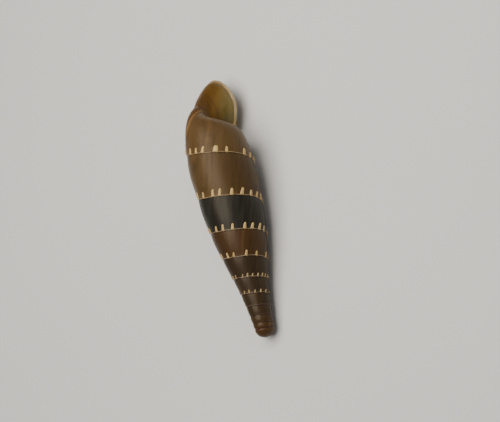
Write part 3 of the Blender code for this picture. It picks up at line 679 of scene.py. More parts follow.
def make_thread():
    grown = np.arange(grown_length(THREAD_START), grown_length(THREAD_END), THREAD_STEP)
    turns = turn_at(grown)
    last = last_seam_radius(np.maximum(turns, LAST_WHORL_TURN))
    radius = np.where(turns < LAST_WHORL_TURN, seam_radius(turns), last)
    depth = suture_depth(turns) + 0.012 * wander(grown * 3.1, 41) + 0.006 * wander(grown * 7.7, 42)
    size = THREAD_RADIUS * blend(0.35, 1.0, smooth_step((turns - 2.5) / 2.5))
    size = size * (1 + 0.22 * wander(grown * 5.3, 43))
    ends = smooth_step((turns - THREAD_START) / 0.4) * smooth_step((THREAD_END - turns) / 0.05)
    size = size * ends + THREAD_LEAST
    around = np.linspace(0, 2 * math.pi, 10, endpoint=False)
    out = (radius - 0.004)[:, None] + size[:, None] * np.cos(around)
    down = depth[:, None] + size[:, None] * np.sin(around)
    wide = turns[:, None] + 0 * around
    points = to_row(around_axis(out, down, wide))
    values = {"turn": wide, "growth": grown[:, None] + 0 * around}
    return new_piece("seam_thread", points, grid_faces(*points.shape[:2], ring=True), values)


thread = make_thread()

# %% [markdown]
# ## The papillae
# The papillae are the snail's mark: blunt little teeth that stand on the seam and point towards the mouth,
# unevenly spaced, leaning with the growth lines. Each is a small dome with nearly straight sides and rounded
# ends, bent to the whorl it lies on. Its foot covers the thread and dives into the whorl before. Their places
# are drawn with the solids' own seeds, so each stands at the same turn as its solid one.

# %% The papillae's places
PAPILLA_ROWS = ((17, 17758), (19, 15271), (18, 33039), (13, 14385), (21, 5328), (13, 27480))
PAPILLA_LAST_TURN = 10.530
PAPILLA_WANDER = 0.36
PAPILLA_LENGTH = 0.38
PAPILLA_WIDTH = 0.18
PAPILLA_RAISE = 0.066
PAPILLA_ROOT = 0.012  # how deep its edges lie in the whorl
PAPILLA_OVERLAP = 0.055  # how far its foot reaches over the thread
PAPILLA_HEEL = 0.045  # how deep the foot's end dives
PAPILLA_FOOT_START = -0.06  # where the foot's end lies, as a share of the length
PAPILLA_LEAN = math.radians(20)
WIDE_PAPILLA_TURN = 10.0425
WIDE_PAPILLA_SCALE = 1.45
PAPILLA_SIZES = (1.0, 1.0, 0.95, 0.8, 0.55, 0.5)
PAPILLA_FIRST_SEED = 500  # every papilla's own shape is drawn with a seed of its own, from this one up


def papilla_turns():
    """(turn, size) of every papilla, from the lowest row up."""
    found = []
    for row, (count, seed) in enumerate(PAPILLA_ROWS):
        rng = random.Random(seed)
        row_start = PAPILLA_LAST_TURN - 1 - row
        strays = [rng.uniform(-PAPILLA_WANDER, PAPILLA_WANDER) for _ in range(count)]
        for k, stray in enumerate(strays):
            turns = row_start + (k + 0.5 + stray) / count
            size = PAPILLA_SIZES[row] * rng.uniform(0.9, 1.12)
            if turns < MOUTH_TURN - 0.01:
                found.append((turns, size))
    return found


print("papillae:", len(papilla_turns()))

# %% One papilla after another
def face_radius(turns, down):
    """Radius of the coil's face at a distance below the upper seam."""
    if turns < LAST_WHORL_TURN:
        share = down / (suture_depth(turns + 1) - suture_depth(turns))
        return band_radius(turns, np.maximum(share, 0)) + edge_rise(down)
    ring = body_ring(turns)
    radius, depth = ring[:FACE_POINTS].T
    return np.interp(down, depth - suture_depth(turns), radius)


def papilla_points(turns, size, shape_seed):
    """A dome of 17 by 19 points: along from the seam to the tip, over from one side to the other."""
    rng = random.Random(shape_seed)
    wide = WIDE_PAPILLA_SCALE if abs(turns - WIDE_PAPILLA_TURN) < 0.012 else 1.0
    length = size * PAPILLA_LENGTH * rng.uniform(0.90, 1.00) * (0.94 if wide > 1 else 1.0)
    lean = PAPILLA_LEAN + math.radians(rng.uniform(-5, 5))
    along = np.linspace(PAPILLA_FOOT_START, 1, 17)[:, None]
    over = np.linspace(1, -1, 19)[None, :]
    foot = np.exp(-np.maximum(along, 0) / 0.16)
    heel = smooth_step((along - PAPILLA_FOOT_START) / 0.20)
    tip = np.sqrt(np.clip(1 - np.clip((along - 0.62) / 0.38, 0, 1) ** 2.4, 0, 1))
    half = size * PAPILLA_WIDTH * wide * 0.5 * (blend(0.98, 0.78, along) + 0.30 / wide**2 * foot)
    half = half * tip * np.sqrt(0.12 + 0.88 * heel)
    skew = rng.uniform(-0.10, 0.16) * np.clip(along, 0, 1) ** 2 * size * PAPILLA_WIDTH
    raise_by = PAPILLA_RAISE * (0.6 + 0.4 * size) * (0.72 + 0.28 * np.clip(along, 0, 1)) * tip**0.7
    height = raise_by * np.sqrt(heel) * (1 - np.abs(over) ** 2.8) ** 0.6
    height = height - PAPILLA_ROOT - PAPILLA_HEEL * (1 - heel)
    across = half * over + skew
    middle = SEAM_GAP - PAPILLA_OVERLAP + length / 2
    arc = -(along - 0.5) * length * math.sin(lean) + across * math.cos(lean)
    down = middle + (along - 0.5) * length * math.cos(lean) + across * math.sin(lean)
    base = face_radius(turns, down)
    angle_turns = turns + arc / (2 * math.pi * base)
    points = to_row(around_axis(base + height, suture_depth(turns) + down, angle_turns))
    whole = 0 * along * over
    values = {"along": along + whole, "over": np.abs(over) + whole, "tone": rng.uniform(0, 1) + whole}
    return points, values


def make_papillae():
    grids = []
    for k, (turns, size) in enumerate(papilla_turns()):
        points, values = papilla_points(turns, size, PAPILLA_FIRST_SEED + k)
        values["size"] = size + 0 * values["along"]
        grids.append((points, values, False))
    return new_piece("papillae", *joined_grids(grids))


papillae = make_papillae()

# %% [markdown]
# ## The animal's skin
# Foot, tail, neck, head, feelers and mantle edge are one soft body under one skin. It starts as a few
# overlapping closed forms of the solids' sizes: a swept foot, a head, a column that rises into the shell, the
# mantle's collar and four feelers. A voxel remesh welds them, a smooth modifier softens the joints, and then
# every point is moved a little for the wrinkles and warts. Voxels can't be finer than a tenth of a mm in
# Blender's own units, so this is done a thousand times too large and shrunk at the end.

# %% Forms of the soft body, in mm
OPENING = to_row(MOUTH_CENTRE)
FOOT_YAW = math.radians(2)
FOOT_SIDE = 0.22
FOOT_STATIONS = (
    (1.62, 0.22, 0.10), (1.52, 0.40, 0.18), (1.24, 0.56, 0.27), (0.70, 0.68, 0.40), (-0.30, 0.74, 0.52),
    (-1.20, 0.72, 0.48), (-2.00, 0.60, 0.36), (-2.80, 0.42, 0.25), (-3.40, 0.25, 0.17), (-3.75, 0.10, 0.10),
)
HEAD_CENTRE = (0.78, 0.68)
HEAD_SIDE = 0.18
HEAD_HALF = (0.60, 0.46, 0.40)
MUZZLE = ((0.28, -0.16), (0.42, 0.36, 0.25))
COLUMN_BACK = 0.38
COLUMN_HALF = (0.60, 0.76)
COLUMN_FALL = 1.24
COLUMN_TAPER = 0.34
COLLAR_NEAR, COLLAR_FAR = 0.30, 0.78
# (place of the root, lean, reach of the tip, stalk's radius, bulb's radius)
UPPER_FEELER = ((0.98, 0.29, 0.80), (0.76, 0.63, 0.10), 0.62, 0.115, 0.155)
LOWER_FEELER = ((1.26, 0.22, 0.50), (0.97, 0.16, -0.04), 0.30, 0.095, 0.115)
FEELER_LEAST = 0.004  # so that the ring at its end isn't a point
# The nape, from inside the mouth to the head: place, height, half width and half height
NAPE_ALONG = (-0.25, 0.80)
NAPE_HEIGHT = (1.12, 0.72)
NAPE_HALF = ((0.50, 0.46), (0.42, 0.36))


def closed_sweep(rings):
    """Points and faces of a closed form through rings of equal length, with a fan at each end."""
    rings = np.array(rings)
    columns, rows = rings.shape[:2]
    points = np.vstack([rings.reshape(-1, 3), rings[0].mean(axis=0), rings[-1].mean(axis=0)])
    faces = [tuple(quad) for quad in grid_faces(columns, rows, ring=True)]
    first, last, size = columns * rows, columns * rows + 1, (columns - 1) * rows
    for k in range(rows):
        faces.append((first, k, (k + 1) % rows))
        faces.append((last, size + (k + 1) % rows, size + k))
    return points, faces


def foot_rings():
    """The foot: flat below with a thin fringe, hollowed just above it, and arched over the back."""
    stations = np.array(FOOT_STATIONS)[::-1]
    u = np.linspace(stations[0, 0], stations[-1, 0], 90)
    half = np.interp(u, stations[:, 0], stations[:, 1])
    height = np.interp(u, stations[:, 0], stations[:, 2])
    angles = np.radians(np.linspace(0, 180, 37))
    flat = np.linspace(-1, 1, 15)[1:-1]
    up = np.concatenate([0 * flat, 0.12 + 0.88 * np.sin(angles)])
    groove = 0.05 * np.exp(-(((up - 0.34) / 0.10) ** 2)) * (up > 0.1)
    side = np.concatenate([flat, np.cos(angles)]) * (1 - groove)
    rings = []
    for at, wide, tall in zip(u, half, height):
        rings.append(np.stack([np.full_like(side, at), side * wide + FOOT_SIDE, up * tall], axis=1))
    turned = np.array(rings) @ np.array(Matrix.Rotation(FOOT_YAW, 3, "Z")).T
    return turned + np.array((OPENING[0], OPENING[1], 0))


def ellipsoid(centre, half):
    """Rings of an ellipsoid whose axis lies along x."""
    angle = np.linspace(0.04, math.pi - 0.04, 28)[:, None]
    around = np.linspace(0, 2 * math.pi, 36, endpoint=False)[None, :]
    ahead = -np.cos(angle) + 0 * around
    rings = np.stack([ahead, np.sin(angle) * np.cos(around), np.sin(angle) * np.sin(around)], axis=-1)
    return rings * np.array(half) + np.array(centre)


def feeler_place(shape, left):
    """The root's place and the direction of a feeler."""
    (u, side, height), (forward, outward, up) = shape[:2]
    sign = 1 if left else -1
    lean = np.array((forward, sign * outward, up))
    root = np.array((OPENING[0] + u, OPENING[1] + HEAD_SIDE + sign * side, height))
    return root, lean / np.linalg.norm(lean)


def feeler_rings(shape, left):
    """A half drawn-in feeler: a faintly ringed stalk that widens at its foot, and a round bulb at its end."""
    root, lean = feeler_place(shape, left)
    reach, stalk, bulb = shape[2:]
    across = np.cross(lean, (0, 0, 1))
    across = across / np.linalg.norm(across)
    over = np.cross(across, lean)
    around = np.linspace(0, 2 * math.pi, 30, endpoint=False)
    rings = []
    for at in np.linspace(-0.2, reach, 46):
        foot = 0.9 * stalk * math.exp(-max(0.0, at) / 0.10)
        size = stalk * (1 - 0.03 * math.cos(at * 90)) + foot
        if at > reach - 2 * bulb:
            off = (at - reach + bulb) / bulb
            ball = bulb * math.sqrt(max(0.0, 1 - off * off))
            size = max(ball, size * (1 - smooth_step(off + 0.6)))
        ring = np.outer(np.cos(around), across) + np.outer(np.sin(around), over)
        rings.append(root + lean * at + (size + FEELER_LEAST) * ring)
    return rings


def neck_bridge():
    """The nape: a thick arch from inside the shell's mouth down to the head."""
    around = np.linspace(0, 2 * math.pi, 36, endpoint=False)
    rings = []
    for share in np.linspace(0, 1, 24):
        u = blend(*NAPE_ALONG, share)
        height = blend(*NAPE_HEIGHT, smooth_step(share))
        half = [blend(back, front, share) for back, front in zip(*NAPE_HALF)]
        side = half[0] * np.cos(around) + HEAD_SIDE * share
        ring = np.stack([0 * around + u, side, half[1] * np.sin(around) + height], axis=1)
        rings.append(ring + np.array((OPENING[0], OPENING[1], 0)))
    return np.array(rings)


def soft_forms():
    forms = [foot_rings()]
    head = (OPENING[0] + HEAD_CENTRE[0], OPENING[1] + HEAD_SIDE, HEAD_CENTRE[1])
    forms.append(ellipsoid(head, HEAD_HALF))
    forms.append(ellipsoid((head[0] + MUZZLE[0][0], head[1], head[2] + MUZZLE[0][1]), MUZZLE[1]))
    forms.append(neck_bridge())
    shares = np.linspace(0, 1, 48, endpoint=False)
    near = NECK_END + COLLAR_NEAR
    centre = MOUTH_CENTRE + np.array((0, 0, COLUMN_BACK))
    rings = []
    for fall in np.linspace(0, COLUMN_FALL, 20):
        half = np.array(COLUMN_HALF) * (1 - COLUMN_TAPER * (fall / COLUMN_FALL) ** 3)
        rings.append(mouth_ring(half, near - fall, shares, centre))
    forms.append(to_row(np.array(rings)))
    depth = abs(NECK_END)
    ends = np.linspace(1 - COLLAR_NEAR / depth, 1 - COLLAR_FAR / depth, 7)
    forms.append(to_row(np.array([neck_ring(share, WALL + 0.04, shares) for share in ends])))
    for shape in (UPPER_FEELER, LOWER_FEELER):
        for left in (True, False):
            forms.append(np.array(feeler_rings(shape, left)))
    return forms


print("soft forms:", len(soft_forms()), "around", OPENING.round(2))

# %% Welding the forms into one skin
SKIN_VOXEL = 0.026
SOFTENING_ROUNDS = 9


def weld(forms, voxel, rounds):
    """One smooth mesh over all the forms, as arrays of points and faces."""
    points, faces, start = [], [], 0
    for rings in forms:
        p, f = closed_sweep(rings)
        points.append(p)
        faces += [tuple(i + start for i in face) for face in f]
        start += len(p)
    mesh = bpy.data.meshes.new("soft_forms")
    mesh.from_pydata(np.vstack(points).tolist(), [], faces)
    bm = bmesh.new()
    bm.from_mesh(mesh)
    bmesh.ops.recalc_face_normals(bm, faces=bm.faces)
    bm.to_mesh(mesh)
    bm.free()
    forms_piece = placed("soft_forms", mesh)
    remesh = forms_piece.modifiers.new("weld", "REMESH")
    remesh.mode = "VOXEL"
    remesh.voxel_size = voxel
    soften = forms_piece.modifiers.new("soften", "SMOOTH")
    soften.factor = 0.5
    soften.iterations = rounds
    done = forms_piece.evaluated_get(bpy.context.evaluated_depsgraph_get()).to_mesh()
    made = np.zeros(len(done.vertices) * 3)
    done.vertices.foreach_get("co", made)
    made_faces = [tuple(p.vertices) for p in done.polygons]
    bpy.data.objects.remove(forms_piece)
    return made.reshape(-1, 3), made_faces


skin_points, skin_faces = weld(soft_forms(), SKIN_VOXEL, SOFTENING_ROUNDS)
print("welded skin:", len(skin_points), "points")

# %% [markdown]
# ### Warts, wrinkles and the mouth
# A snail's skin is set with long low warts in rows, parted by a net of fine furrows. Cell noise gives them:
# where a spot is as far from the nearest cell's middle as from the next one's lies a furrow, and the more the
# two differ, the higher it stands on a wart. Cells that are long along the body make long warts. The sole
# stays flat and smooth, because it creeps. The mouth is a short slit under the muzzle.

# %% Shaping the skin
WART_SIZE = (0.17, 0.11, 0.10)
WART_HEIGHT = 0.024
SLIT_AHEAD, SLIT_BELOW = 0.64, 0.26  # the mouth's place from the head's middle
SLIT_HALF = (0.16, 0.15, 0.035)
SLIT_DEPTH = 0.07


def point_normals(points, faces):
    mesh = bpy.data.meshes.new("normals")
    mesh.from_pydata(points.tolist(), [], faces)
    normals = np.zeros(len(points) * 3)
    mesh.vertex_normals.foreach_get("vector", normals)
    bpy.data.meshes.remove(mesh)
    return normals.reshape(-1, 3)


def wart_heights(points):
    """0 in the furrows to 1 on the warts, and a second, slower wave for the body's folds."""
    warts, folds = np.zeros(len(points)), np.zeros(len(points))
    for k, p in enumerate(points):
        scaled = Vector((p[0] / WART_SIZE[0], p[1] / WART_SIZE[1], p[2] / WART_SIZE[2]))
        distances, _ = noise.voronoi(scaled)
        warts[k] = min(1.0, (distances[1] - distances[0]) * 1.6)
        folds[k] = noise.noise(Vector(p) * 3.2)
    return warts, folds


def shape_skin(points, faces):
    normals = point_normals(points, faces)
    warts, folds = wart_heights(points)
    sole = smooth_step((points[:, 2] - 0.03) / 0.05)
    bulb = np.zeros(len(points))
    for shape in (UPPER_FEELER, LOWER_FEELER):
        for left in (True, False):
            root, lean = feeler_place(shape, left)
            reach = np.clip((points - root) @ lean, 0.10, shape[2])
            off = np.linalg.norm(points - root - reach[:, None] * lean, axis=1)
            bulb = np.maximum(bulb, 1 - smooth_step((off - shape[4]) / 0.12))
    rough = sole * (1 - 0.75 * bulb)
    low = points[:, 2] < 0.02
    move = (WART_HEIGHT * (warts - 0.9) + 0.020 * folds - 0.006) * rough
    shaped = points + normals * move[:, None]
    centre = (OPENING[0] + HEAD_CENTRE[0] + SLIT_AHEAD, OPENING[1] + HEAD_SIDE, HEAD_CENTRE[1] - SLIT_BELOW)
    off = (points - np.array(centre)) / np.array(SLIT_HALF)
    slit = np.exp(-np.sum(off**2, axis=1))
    shaped[:, 0] -= SLIT_DEPTH * slit
    shaped[:, 2] = np.where(low, 0.0, np.maximum(shaped[:, 2], 0.0))
    return shaped, {"wart": warts * rough + (1 - rough) * 0.8, "slit": slit, "bulb": bulb}


skin_shaped, skin_values = shape_skin(skin_points, skin_faces)
skin = new_piece("skin", skin_shaped, skin_faces, skin_values)

# %% [markdown]
# ## The eyes
# Each upper feeler ends in a black bead, half sunk in the bulb, with a low lens that bulges forward.
# It is turned on its own axis like a bead on a lathe: a profile of a few points, spun round.

# %% The eye beads
EYE_RADIUS = 0.070
# (share of the radius forward, share of the radius out) along the bead's profile
EYE_PROFILE = tuple((-math.cos(a), math.sin(a)) for a in np.linspace(0.02, 2.05, 22)) + (
    (0.56, 0.815), (0.66, 0.735), (0.76, 0.63), (0.85, 0.50), (0.93, 0.34), (0.975, 0.17), (0.985, 0.01),
)


def make_eye(side):
    low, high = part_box(f"eye_{side}")
    centre = np.array((low + high) / 2) / MM
    forward = np.array(UPPER_FEELER[1]) * np.array((1, 1 if side == "left" else -1, 1))
    forward = forward / np.linalg.norm(forward)
    across = np.cross(forward, (0, 0, 1))
    across = across / np.linalg.norm(across)
    over = np.cross(across, forward)
    around = np.linspace(0, 2 * math.pi, 40, endpoint=False)
    ring = np.outer(np.cos(around), across) + np.outer(np.sin(around), over)
    rings = [centre + EYE_RADIUS * (ahead * forward + out * ring) for ahead, out in EYE_PROFILE]
    points, faces = closed_sweep(rings)
    return new_piece(f"eye_bead_{side}", points, faces)


eyes = [make_eye(side) for side in ("left", "right")]

# %% [markdown]
# ## Finishes
# Each finish is a Principled shader fed by a few named values of the mesh: how old the shell is at that spot,
# how far it lies below the seam, how near the mouth. Effects that several finishes share are shader groups,
# built once: growth lines, which are fine streaks along the coil, and mottling, which is soft cloudiness.

# %% Building blocks for materials
def paint(code):
    """A colour given as on a screen, RRGGBB, as the linear values a shader wants."""
    parts = [int(code[k:k + 2], 16) / 255 for k in (0, 2, 4)]
    return (*[c / 12.92 if c <= 0.04045 else ((c + 0.055) / 1.055) ** 2.4 for c in parts], 1.0)


def add(tree, kind, **settings):
    node = tree.nodes.new(kind)
    for key, value in settings.items():
        setattr(node, key, value)
    return node


def feed(tree, source, target):
    """Links an output to an input, or sets the input where the source is a plain value."""
    if isinstance(source, bpy.types.NodeSocket):
        tree.links.new(source, target)
    else:
        target.default_value = source


def sums(tree, operation, a, b):
    node = add(tree, "ShaderNodeMath", operation=operation)
    feed(tree, a, node.inputs[0])
    feed(tree, b, node.inputs[1])
    return node.outputs[0]


def rescale(tree, value, low, high, out_low=0.0, out_high=1.0):
    node = add(tree, "ShaderNodeMapRange", interpolation_type="SMOOTHSTEP")
    feed(tree, value, node.inputs["Value"])
    for key, number in (("From Min", low), ("From Max", high), ("To Min", out_low), ("To Max", out_high)):
        node.inputs[key].default_value = number
    return node.outputs["Result"]


def mixed(tree, a, b, share):
    node = add(tree, "ShaderNodeMix", data_type="RGBA")
    feed(tree, share, node.inputs["Factor"])
    feed(tree, a, node.inputs["A"])
    feed(tree, b, node.inputs["B"])
    return node.outputs["Result"]


def point_value(tree, name):
    return add(tree, "ShaderNodeAttribute", attribute_type="GEOMETRY", attribute_name=name).outputs["Fac"]


def flow(tree, along, across):
    """A coordinate along the coil and across it, for noise that follows the growth."""
    node = add(tree, "ShaderNodeCombineXYZ")
    feed(tree, along, node.inputs["X"])
    feed(tree, across, node.inputs["Y"])
    return node.outputs["Vector"]


def clouds(tree, vector, scale, detail=3.0, roughness=0.55):
    node = add(tree, "ShaderNodeTexNoise")
    feed(tree, vector, node.inputs["Vector"])
    node.inputs["Scale"].default_value = scale
    node.inputs["Detail"].default_value = detail
    node.inputs["Roughness"].default_value = roughness
    return node.outputs["Fac"]


def ramp(tree, value, stops):
    """A colour for each value, through named stops of (place, colour code)."""
    node = add(tree, "ShaderNodeValToRGB")
    feed(tree, value, node.inputs["Fac"])
    node.color_ramp.interpolation = "EASE"
    while len(node.color_ramp.elements) < len(stops):
        node.color_ramp.elements.new(0.5)
    for element, (place, code) in zip(node.color_ramp.elements, stops):
        element.position = place
        element.color = paint(code)
    return node.outputs["Color"]


def new_group(name, numbers, outputs):
    """An empty shader group with number inputs and the named outputs, ready to be filled."""
    group = bpy.data.node_groups.new(name, "ShaderNodeTree")
    for key, default in numbers:
        socket = group.interface.new_socket(key, in_out="INPUT", socket_type="NodeSocketFloat")
        socket.default_value = default
    for key in outputs:
        group.interface.new_socket(key, in_out="OUTPUT", socket_type="NodeSocketFloat")
    return group, add(group, "NodeGroupInput").outputs, add(group, "NodeGroupOutput").inputs


def place_group(tree, group, **values):
    node = add(tree, "ShaderNodeGroup", node_tree=group)
    for key, value in values.items():
        feed(tree, value, node.inputs[key.replace("_", " ").capitalize()])
    return node.outputs


def new_finish(name, roughness=0.4):
    material = bpy.data.materials.new(name)
    material.use_nodes = True
    tree = material.node_tree
    shader = tree.nodes["Principled BSDF"]
    shader.inputs["Roughness"].default_value = roughness
    return material, tree, shader


def bump(tree, height, depth_mm, strength):
    node = add(tree, "ShaderNodeBump")
    node.inputs["Strength"].default_value = strength
    node.inputs["Distance"].default_value = depth_mm * MM
    feed(tree, height, node.inputs["Height"])
    return node.outputs["Normal"]


# %% The shared effects
def growth_lines_group():
    """Fine streaks that follow the growth: a tone around 0.5 and a height for the bump."""
    group, given, made = new_group(
        "growth_lines", (("Along", 0.0), ("Across", 0.0), ("Fineness", 9.0)), ("Tone", "Height"))
    stretched = flow(group, given["Along"], sums(group, "MULTIPLY", given["Across"], 0.10))
    scaled = add(group, "ShaderNodeVectorMath", operation="SCALE")
    feed(group, stretched, scaled.inputs["Vector"])
    feed(group, given["Fineness"], scaled.inputs["Scale"])
    feed(group, clouds(group, scaled.outputs["Vector"], 1.0, 3.0, 0.65), made["Tone"])
    feed(group, clouds(group, scaled.outputs["Vector"], 3.4, 2.0, 0.6), made["Height"])
    return group


def mottle_group():
    """Soft cloudiness over a surface whose coordinates are in mm."""
    group, given, made = new_group(
        "mottle", (("Along", 0.0), ("Across", 0.0), ("Size mm", 1.0)), ("Tone", "Speck"))
    scaled = add(group, "ShaderNodeVectorMath", operation="DIVIDE")
    feed(group, flow(group, given["Along"], given["Across"]), scaled.inputs[0])
    size = add(group, "ShaderNodeCombineXYZ")
    for axis in "XYZ":
        feed(group, given["Size mm"], size.inputs[axis])
    feed(group, size.outputs["Vector"], scaled.inputs[1])
    feed(group, clouds(group, scaled.outputs["Vector"], 1.0, 4.0, 0.6), made["Tone"])
    feed(group, clouds(group, scaled.outputs["Vector"], 9.0, 2.0, 0.5), made["Speck"])
    return group


GROWTH_LINES = growth_lines_group()
MOTTLE = mottle_group()
print("shared effects:", GROWTH_LINES.name, MOTTLE.name)

# %% [markdown]
# ### Shell
# The shell is thin horn over a dark animal. The first whorls are a worn red brown; one of the later ones
# looks almost black, because the body lies right behind it, and carries a painted grey-blue sheen; the last
# two are warm brown, and the neck, with only air behind it, is orange, partly its own horn and partly a
# painted glow of light through it. So the colour follows the turn. Growth streaks and cloudiness break it up,
# a painted shade runs just above each seam, and a painted orange glow lies along the crest. The shell's skin
# is silky, so what it reflects is soft and a little warm.

# %% The shell's finish
LAST_TURN = 11.0  # the places in the tones below are shares of this many turns
SHELL_TONES = (
    (0.00, "4a3422"), (0.20, "40301f"), (0.33, "35291d"), (0.45, "362b1f"), (0.56, "33281c"),
    (0.64, "432f1c"), (0.705, "211e18"), (0.775, "24201a"), (0.80, "44321e"), (0.85, "594529"),
    (0.93, "564126"), (1.00, "503a1b"),
)
# the neck's orange is partly its own horn and partly a painted glow of light shining through it
NECK_TONES = ((0.0, "5a3f19"), (0.30, "5f4110"), (0.65, "604313"), (1.0, "664c1b"))
DOME_TONES = ((0.0, "5a3f19"), (0.40, "583e18"), (0.75, "60522a"), (1.0, "746840"))


def shell_finish():
    material, tree, shader = new_finish("shell_horn")
    turn, growth, down = (point_value(tree, key) for key in ("turn", "growth", "down"))
    up, mouth = point_value(tree, "up"), point_value(tree, "mouth")
    lines = place_group(tree, GROWTH_LINES, along=growth, across=down, fineness=7.0)
    broad = place_group(tree, GROWTH_LINES, along=growth, across=down, fineness=1.6)
    mottle = place_group(tree, MOTTLE, along=growth, across=down, size_mm=1.3)
    by_turn = ramp(tree, sums(tree, "DIVIDE", turn, LAST_TURN), SHELL_TONES)
    neck, dome = ramp(tree, mouth, NECK_TONES), ramp(tree, mouth, DOME_TONES)
    by_neck = mixed(tree, neck, dome, point_value(tree, "pale"))
    colour = mixed(tree, by_turn, by_neck, rescale(tree, mouth, 0.0, 0.25))
    colour = mixed(tree, colour, paint("52320f"), sums(tree, "MULTIPLY", point_value(tree, "past"), 0.55))
    colour = mixed(tree, colour, paint("201610"), rescale(tree, lines["Tone"], 0.50, 0.78, 0.0, 0.45))
    colour = mixed(tree, colour, paint("8a6a3c"), rescale(tree, broad["Tone"], 0.50, 0.80, 0.0, 0.30))
    colour = mixed(tree, colour, paint("241a14"), rescale(tree, mottle["Tone"], 0.50, 0.75, 0.0, 0.35))
    # painted sheen: a grey-blue sheen in broad streaks on the darkest whorl
    painted_sheen = sums(tree, "MULTIPLY", rescale(tree, turn, 7.3, 7.8), rescale(tree, turn, 8.7, 8.2))
    painted_sheen = sums(tree, "MULTIPLY", painted_sheen, rescale(tree, broad["Tone"], 0.42, 0.60, 0.15, 0.75))
    colour = mixed(tree, colour, paint("2c2c29"), painted_sheen)
    # painted shade: a dark line just above each seam, in the crease where the whorl runs under the next,
    # broken up by the growth streaks
    broken = rescale(tree, lines["Tone"], 0.3, 0.6, 0.5, 0.95)
    seam_shade = sums(tree, "MULTIPLY", rescale(tree, up, 0.085, 0.03), broken)
    colour = mixed(tree, colour, paint("120c09"), seam_shade)
    # painted glow: a bright orange line along the crest, for light shining through the shell's thin edge
    colour = mixed(tree, colour, paint("8c6630"), sums(tree, "MULTIPLY", point_value(tree, "crest"), 0.70))
    feed(tree, colour, shader.inputs["Base Color"])
    roughness = rescale(tree, lines["Tone"], 0.3, 0.7, 0.30, 0.42)
    roughness = sums(tree, "SUBTRACT", roughness, rescale(tree, turn, 4.5, 2.5, 0.0, 0.10))
    feed(tree, roughness, shader.inputs["Roughness"])
    shader.inputs["Coat Weight"].default_value = 0.05
    shader.inputs["Coat Roughness"].default_value = 0.30
    shader.inputs["Specular IOR Level"].default_value = 0.16
    shader.inputs["Specular Tint"].default_value = (1.0, 0.84, 0.62, 1.0)
    feed(tree, bump(tree, lines["Height"], 0.006, 0.6), shader.inputs["Normal"])
    return material


shell.data.materials.append(shell_finish())

# %% [markdown]
# ### Papillae and thread
# Papillae and thread are shell without the brown skin. The papillae are opaque cream, a little darker at the
# foot and down the sides, and the small ones near the tip are duller. The thread is tan, and browner towards
# the tip.

# %% The cream of papillae and thread
def papilla_finish():
    material, tree, shader = new_finish("papilla_cream", 0.45)
    along, over, tone = (point_value(tree, key) for key in ("along", "over", "tone"))
    size = point_value(tree, "size")
    mottle = place_group(tree, MOTTLE, along=along, across=sums(tree, "ADD", over, tone), size_mm=0.8)
    colour = mixed(tree, paint("c8a868"), paint("b29256"), tone)
    colour = mixed(tree, colour, paint("8a6a44"), rescale(tree, along, 0.25, 0.0, 0.0, 0.35))
    colour = mixed(tree, colour, paint("7a5a38"), rescale(tree, over, 0.80, 1.0, 0.0, 0.55))
    colour = mixed(tree, colour, paint("8c7550"), rescale(tree, mottle["Tone"], 0.50, 0.75, 0.0, 0.5))
    colour = mixed(tree, colour, paint("7d6a50"), rescale(tree, size, 0.95, 0.5, 0.0, 0.60))
    feed(tree, colour, shader.inputs["Base Color"])
    shader.inputs["Coat Weight"].default_value = 0.06
    feed(tree, bump(tree, mottle["Speck"], 0.006, 0.6), shader.inputs["Normal"])
    return material


def thread_finish():
    material, tree, shader = new_finish("thread_cream", 0.45)
    turn, growth = point_value(tree, "turn"), point_value(tree, "growth")
    mottle = place_group(tree, MOTTLE, along=growth, across=0.0, size_mm=0.35)
    colour = ramp(tree, sums(tree, "DIVIDE", turn, LAST_TURN), (
        (0.0, "5a3418"), (0.30, "4a2e1c"), (0.42, "604a36"), (0.60, "7c6850"), (1.0, "947a52"),
    ))
    colour = mixed(tree, colour, paint("5a4028"), rescale(tree, mottle["Tone"], 0.48, 0.70, 0.0, 0.6))
    feed(tree, colour, shader.inputs["Base Color"])
    feed(tree, bump(tree, mottle["Speck"], 0.004, 0.5), shader.inputs["Normal"])
    return material


papillae.data.materials.append(papilla_finish())
thread.data.materials.append(thread_finish())

# %% [markdown]
# ### Lip
# The lip is the thickest shell and has lost most of its brown: cream at the rim, tan where it joins the neck,
# orange brown in the furrow behind it, and brown down the throat.

# %% The lip's finish
def lip_finish():
    material, tree, shader = new_finish("lip_enamel", 0.34)
    around, flare, front = (point_value(tree, key) for key in ("around", "flare", "front"))
    along = sums(tree, "MULTIPLY", around, 9.0)
    mottle = place_group(tree, MOTTLE, along=along, across=sums(tree, "MULTIPLY", front, 2.0), size_mm=0.9)
    inwards = sums(tree, "MULTIPLY", front, 3.0)
    lines = place_group(tree, GROWTH_LINES, along=inwards, across=along, fineness=5.0)
    back = ramp(tree, flare, ((0.40, "7a4a16"), (0.52, "8a6028"), (0.75, "8c7042"), (0.95, "a8925f")))
    inside = ramp(tree, sums(tree, "DIVIDE", front, 2.0), (
        (0.20, "aa9664"), (0.48, "a88d60"), (0.60, "8a6448"), (0.85, "4a3020"),
    ))
    colour = mixed(tree, back, inside, rescale(tree, front, 0.50, 0.62))
    colour = mixed(tree, colour, paint("7a5c34"), rescale(tree, mottle["Tone"], 0.50, 0.76, 0.0, 0.5))
    colour = mixed(tree, colour, paint("6a4a28"), rescale(tree, lines["Tone"], 0.52, 0.78, 0.0, 0.35))
    feed(tree, colour, shader.inputs["Base Color"])
    shader.inputs["Coat Weight"].default_value = 0.3
    shader.inputs["Coat Roughness"].default_value = 0.2
    feed(tree, bump(tree, lines["Height"], 0.006, 0.5), shader.inputs["Normal"])
    return material


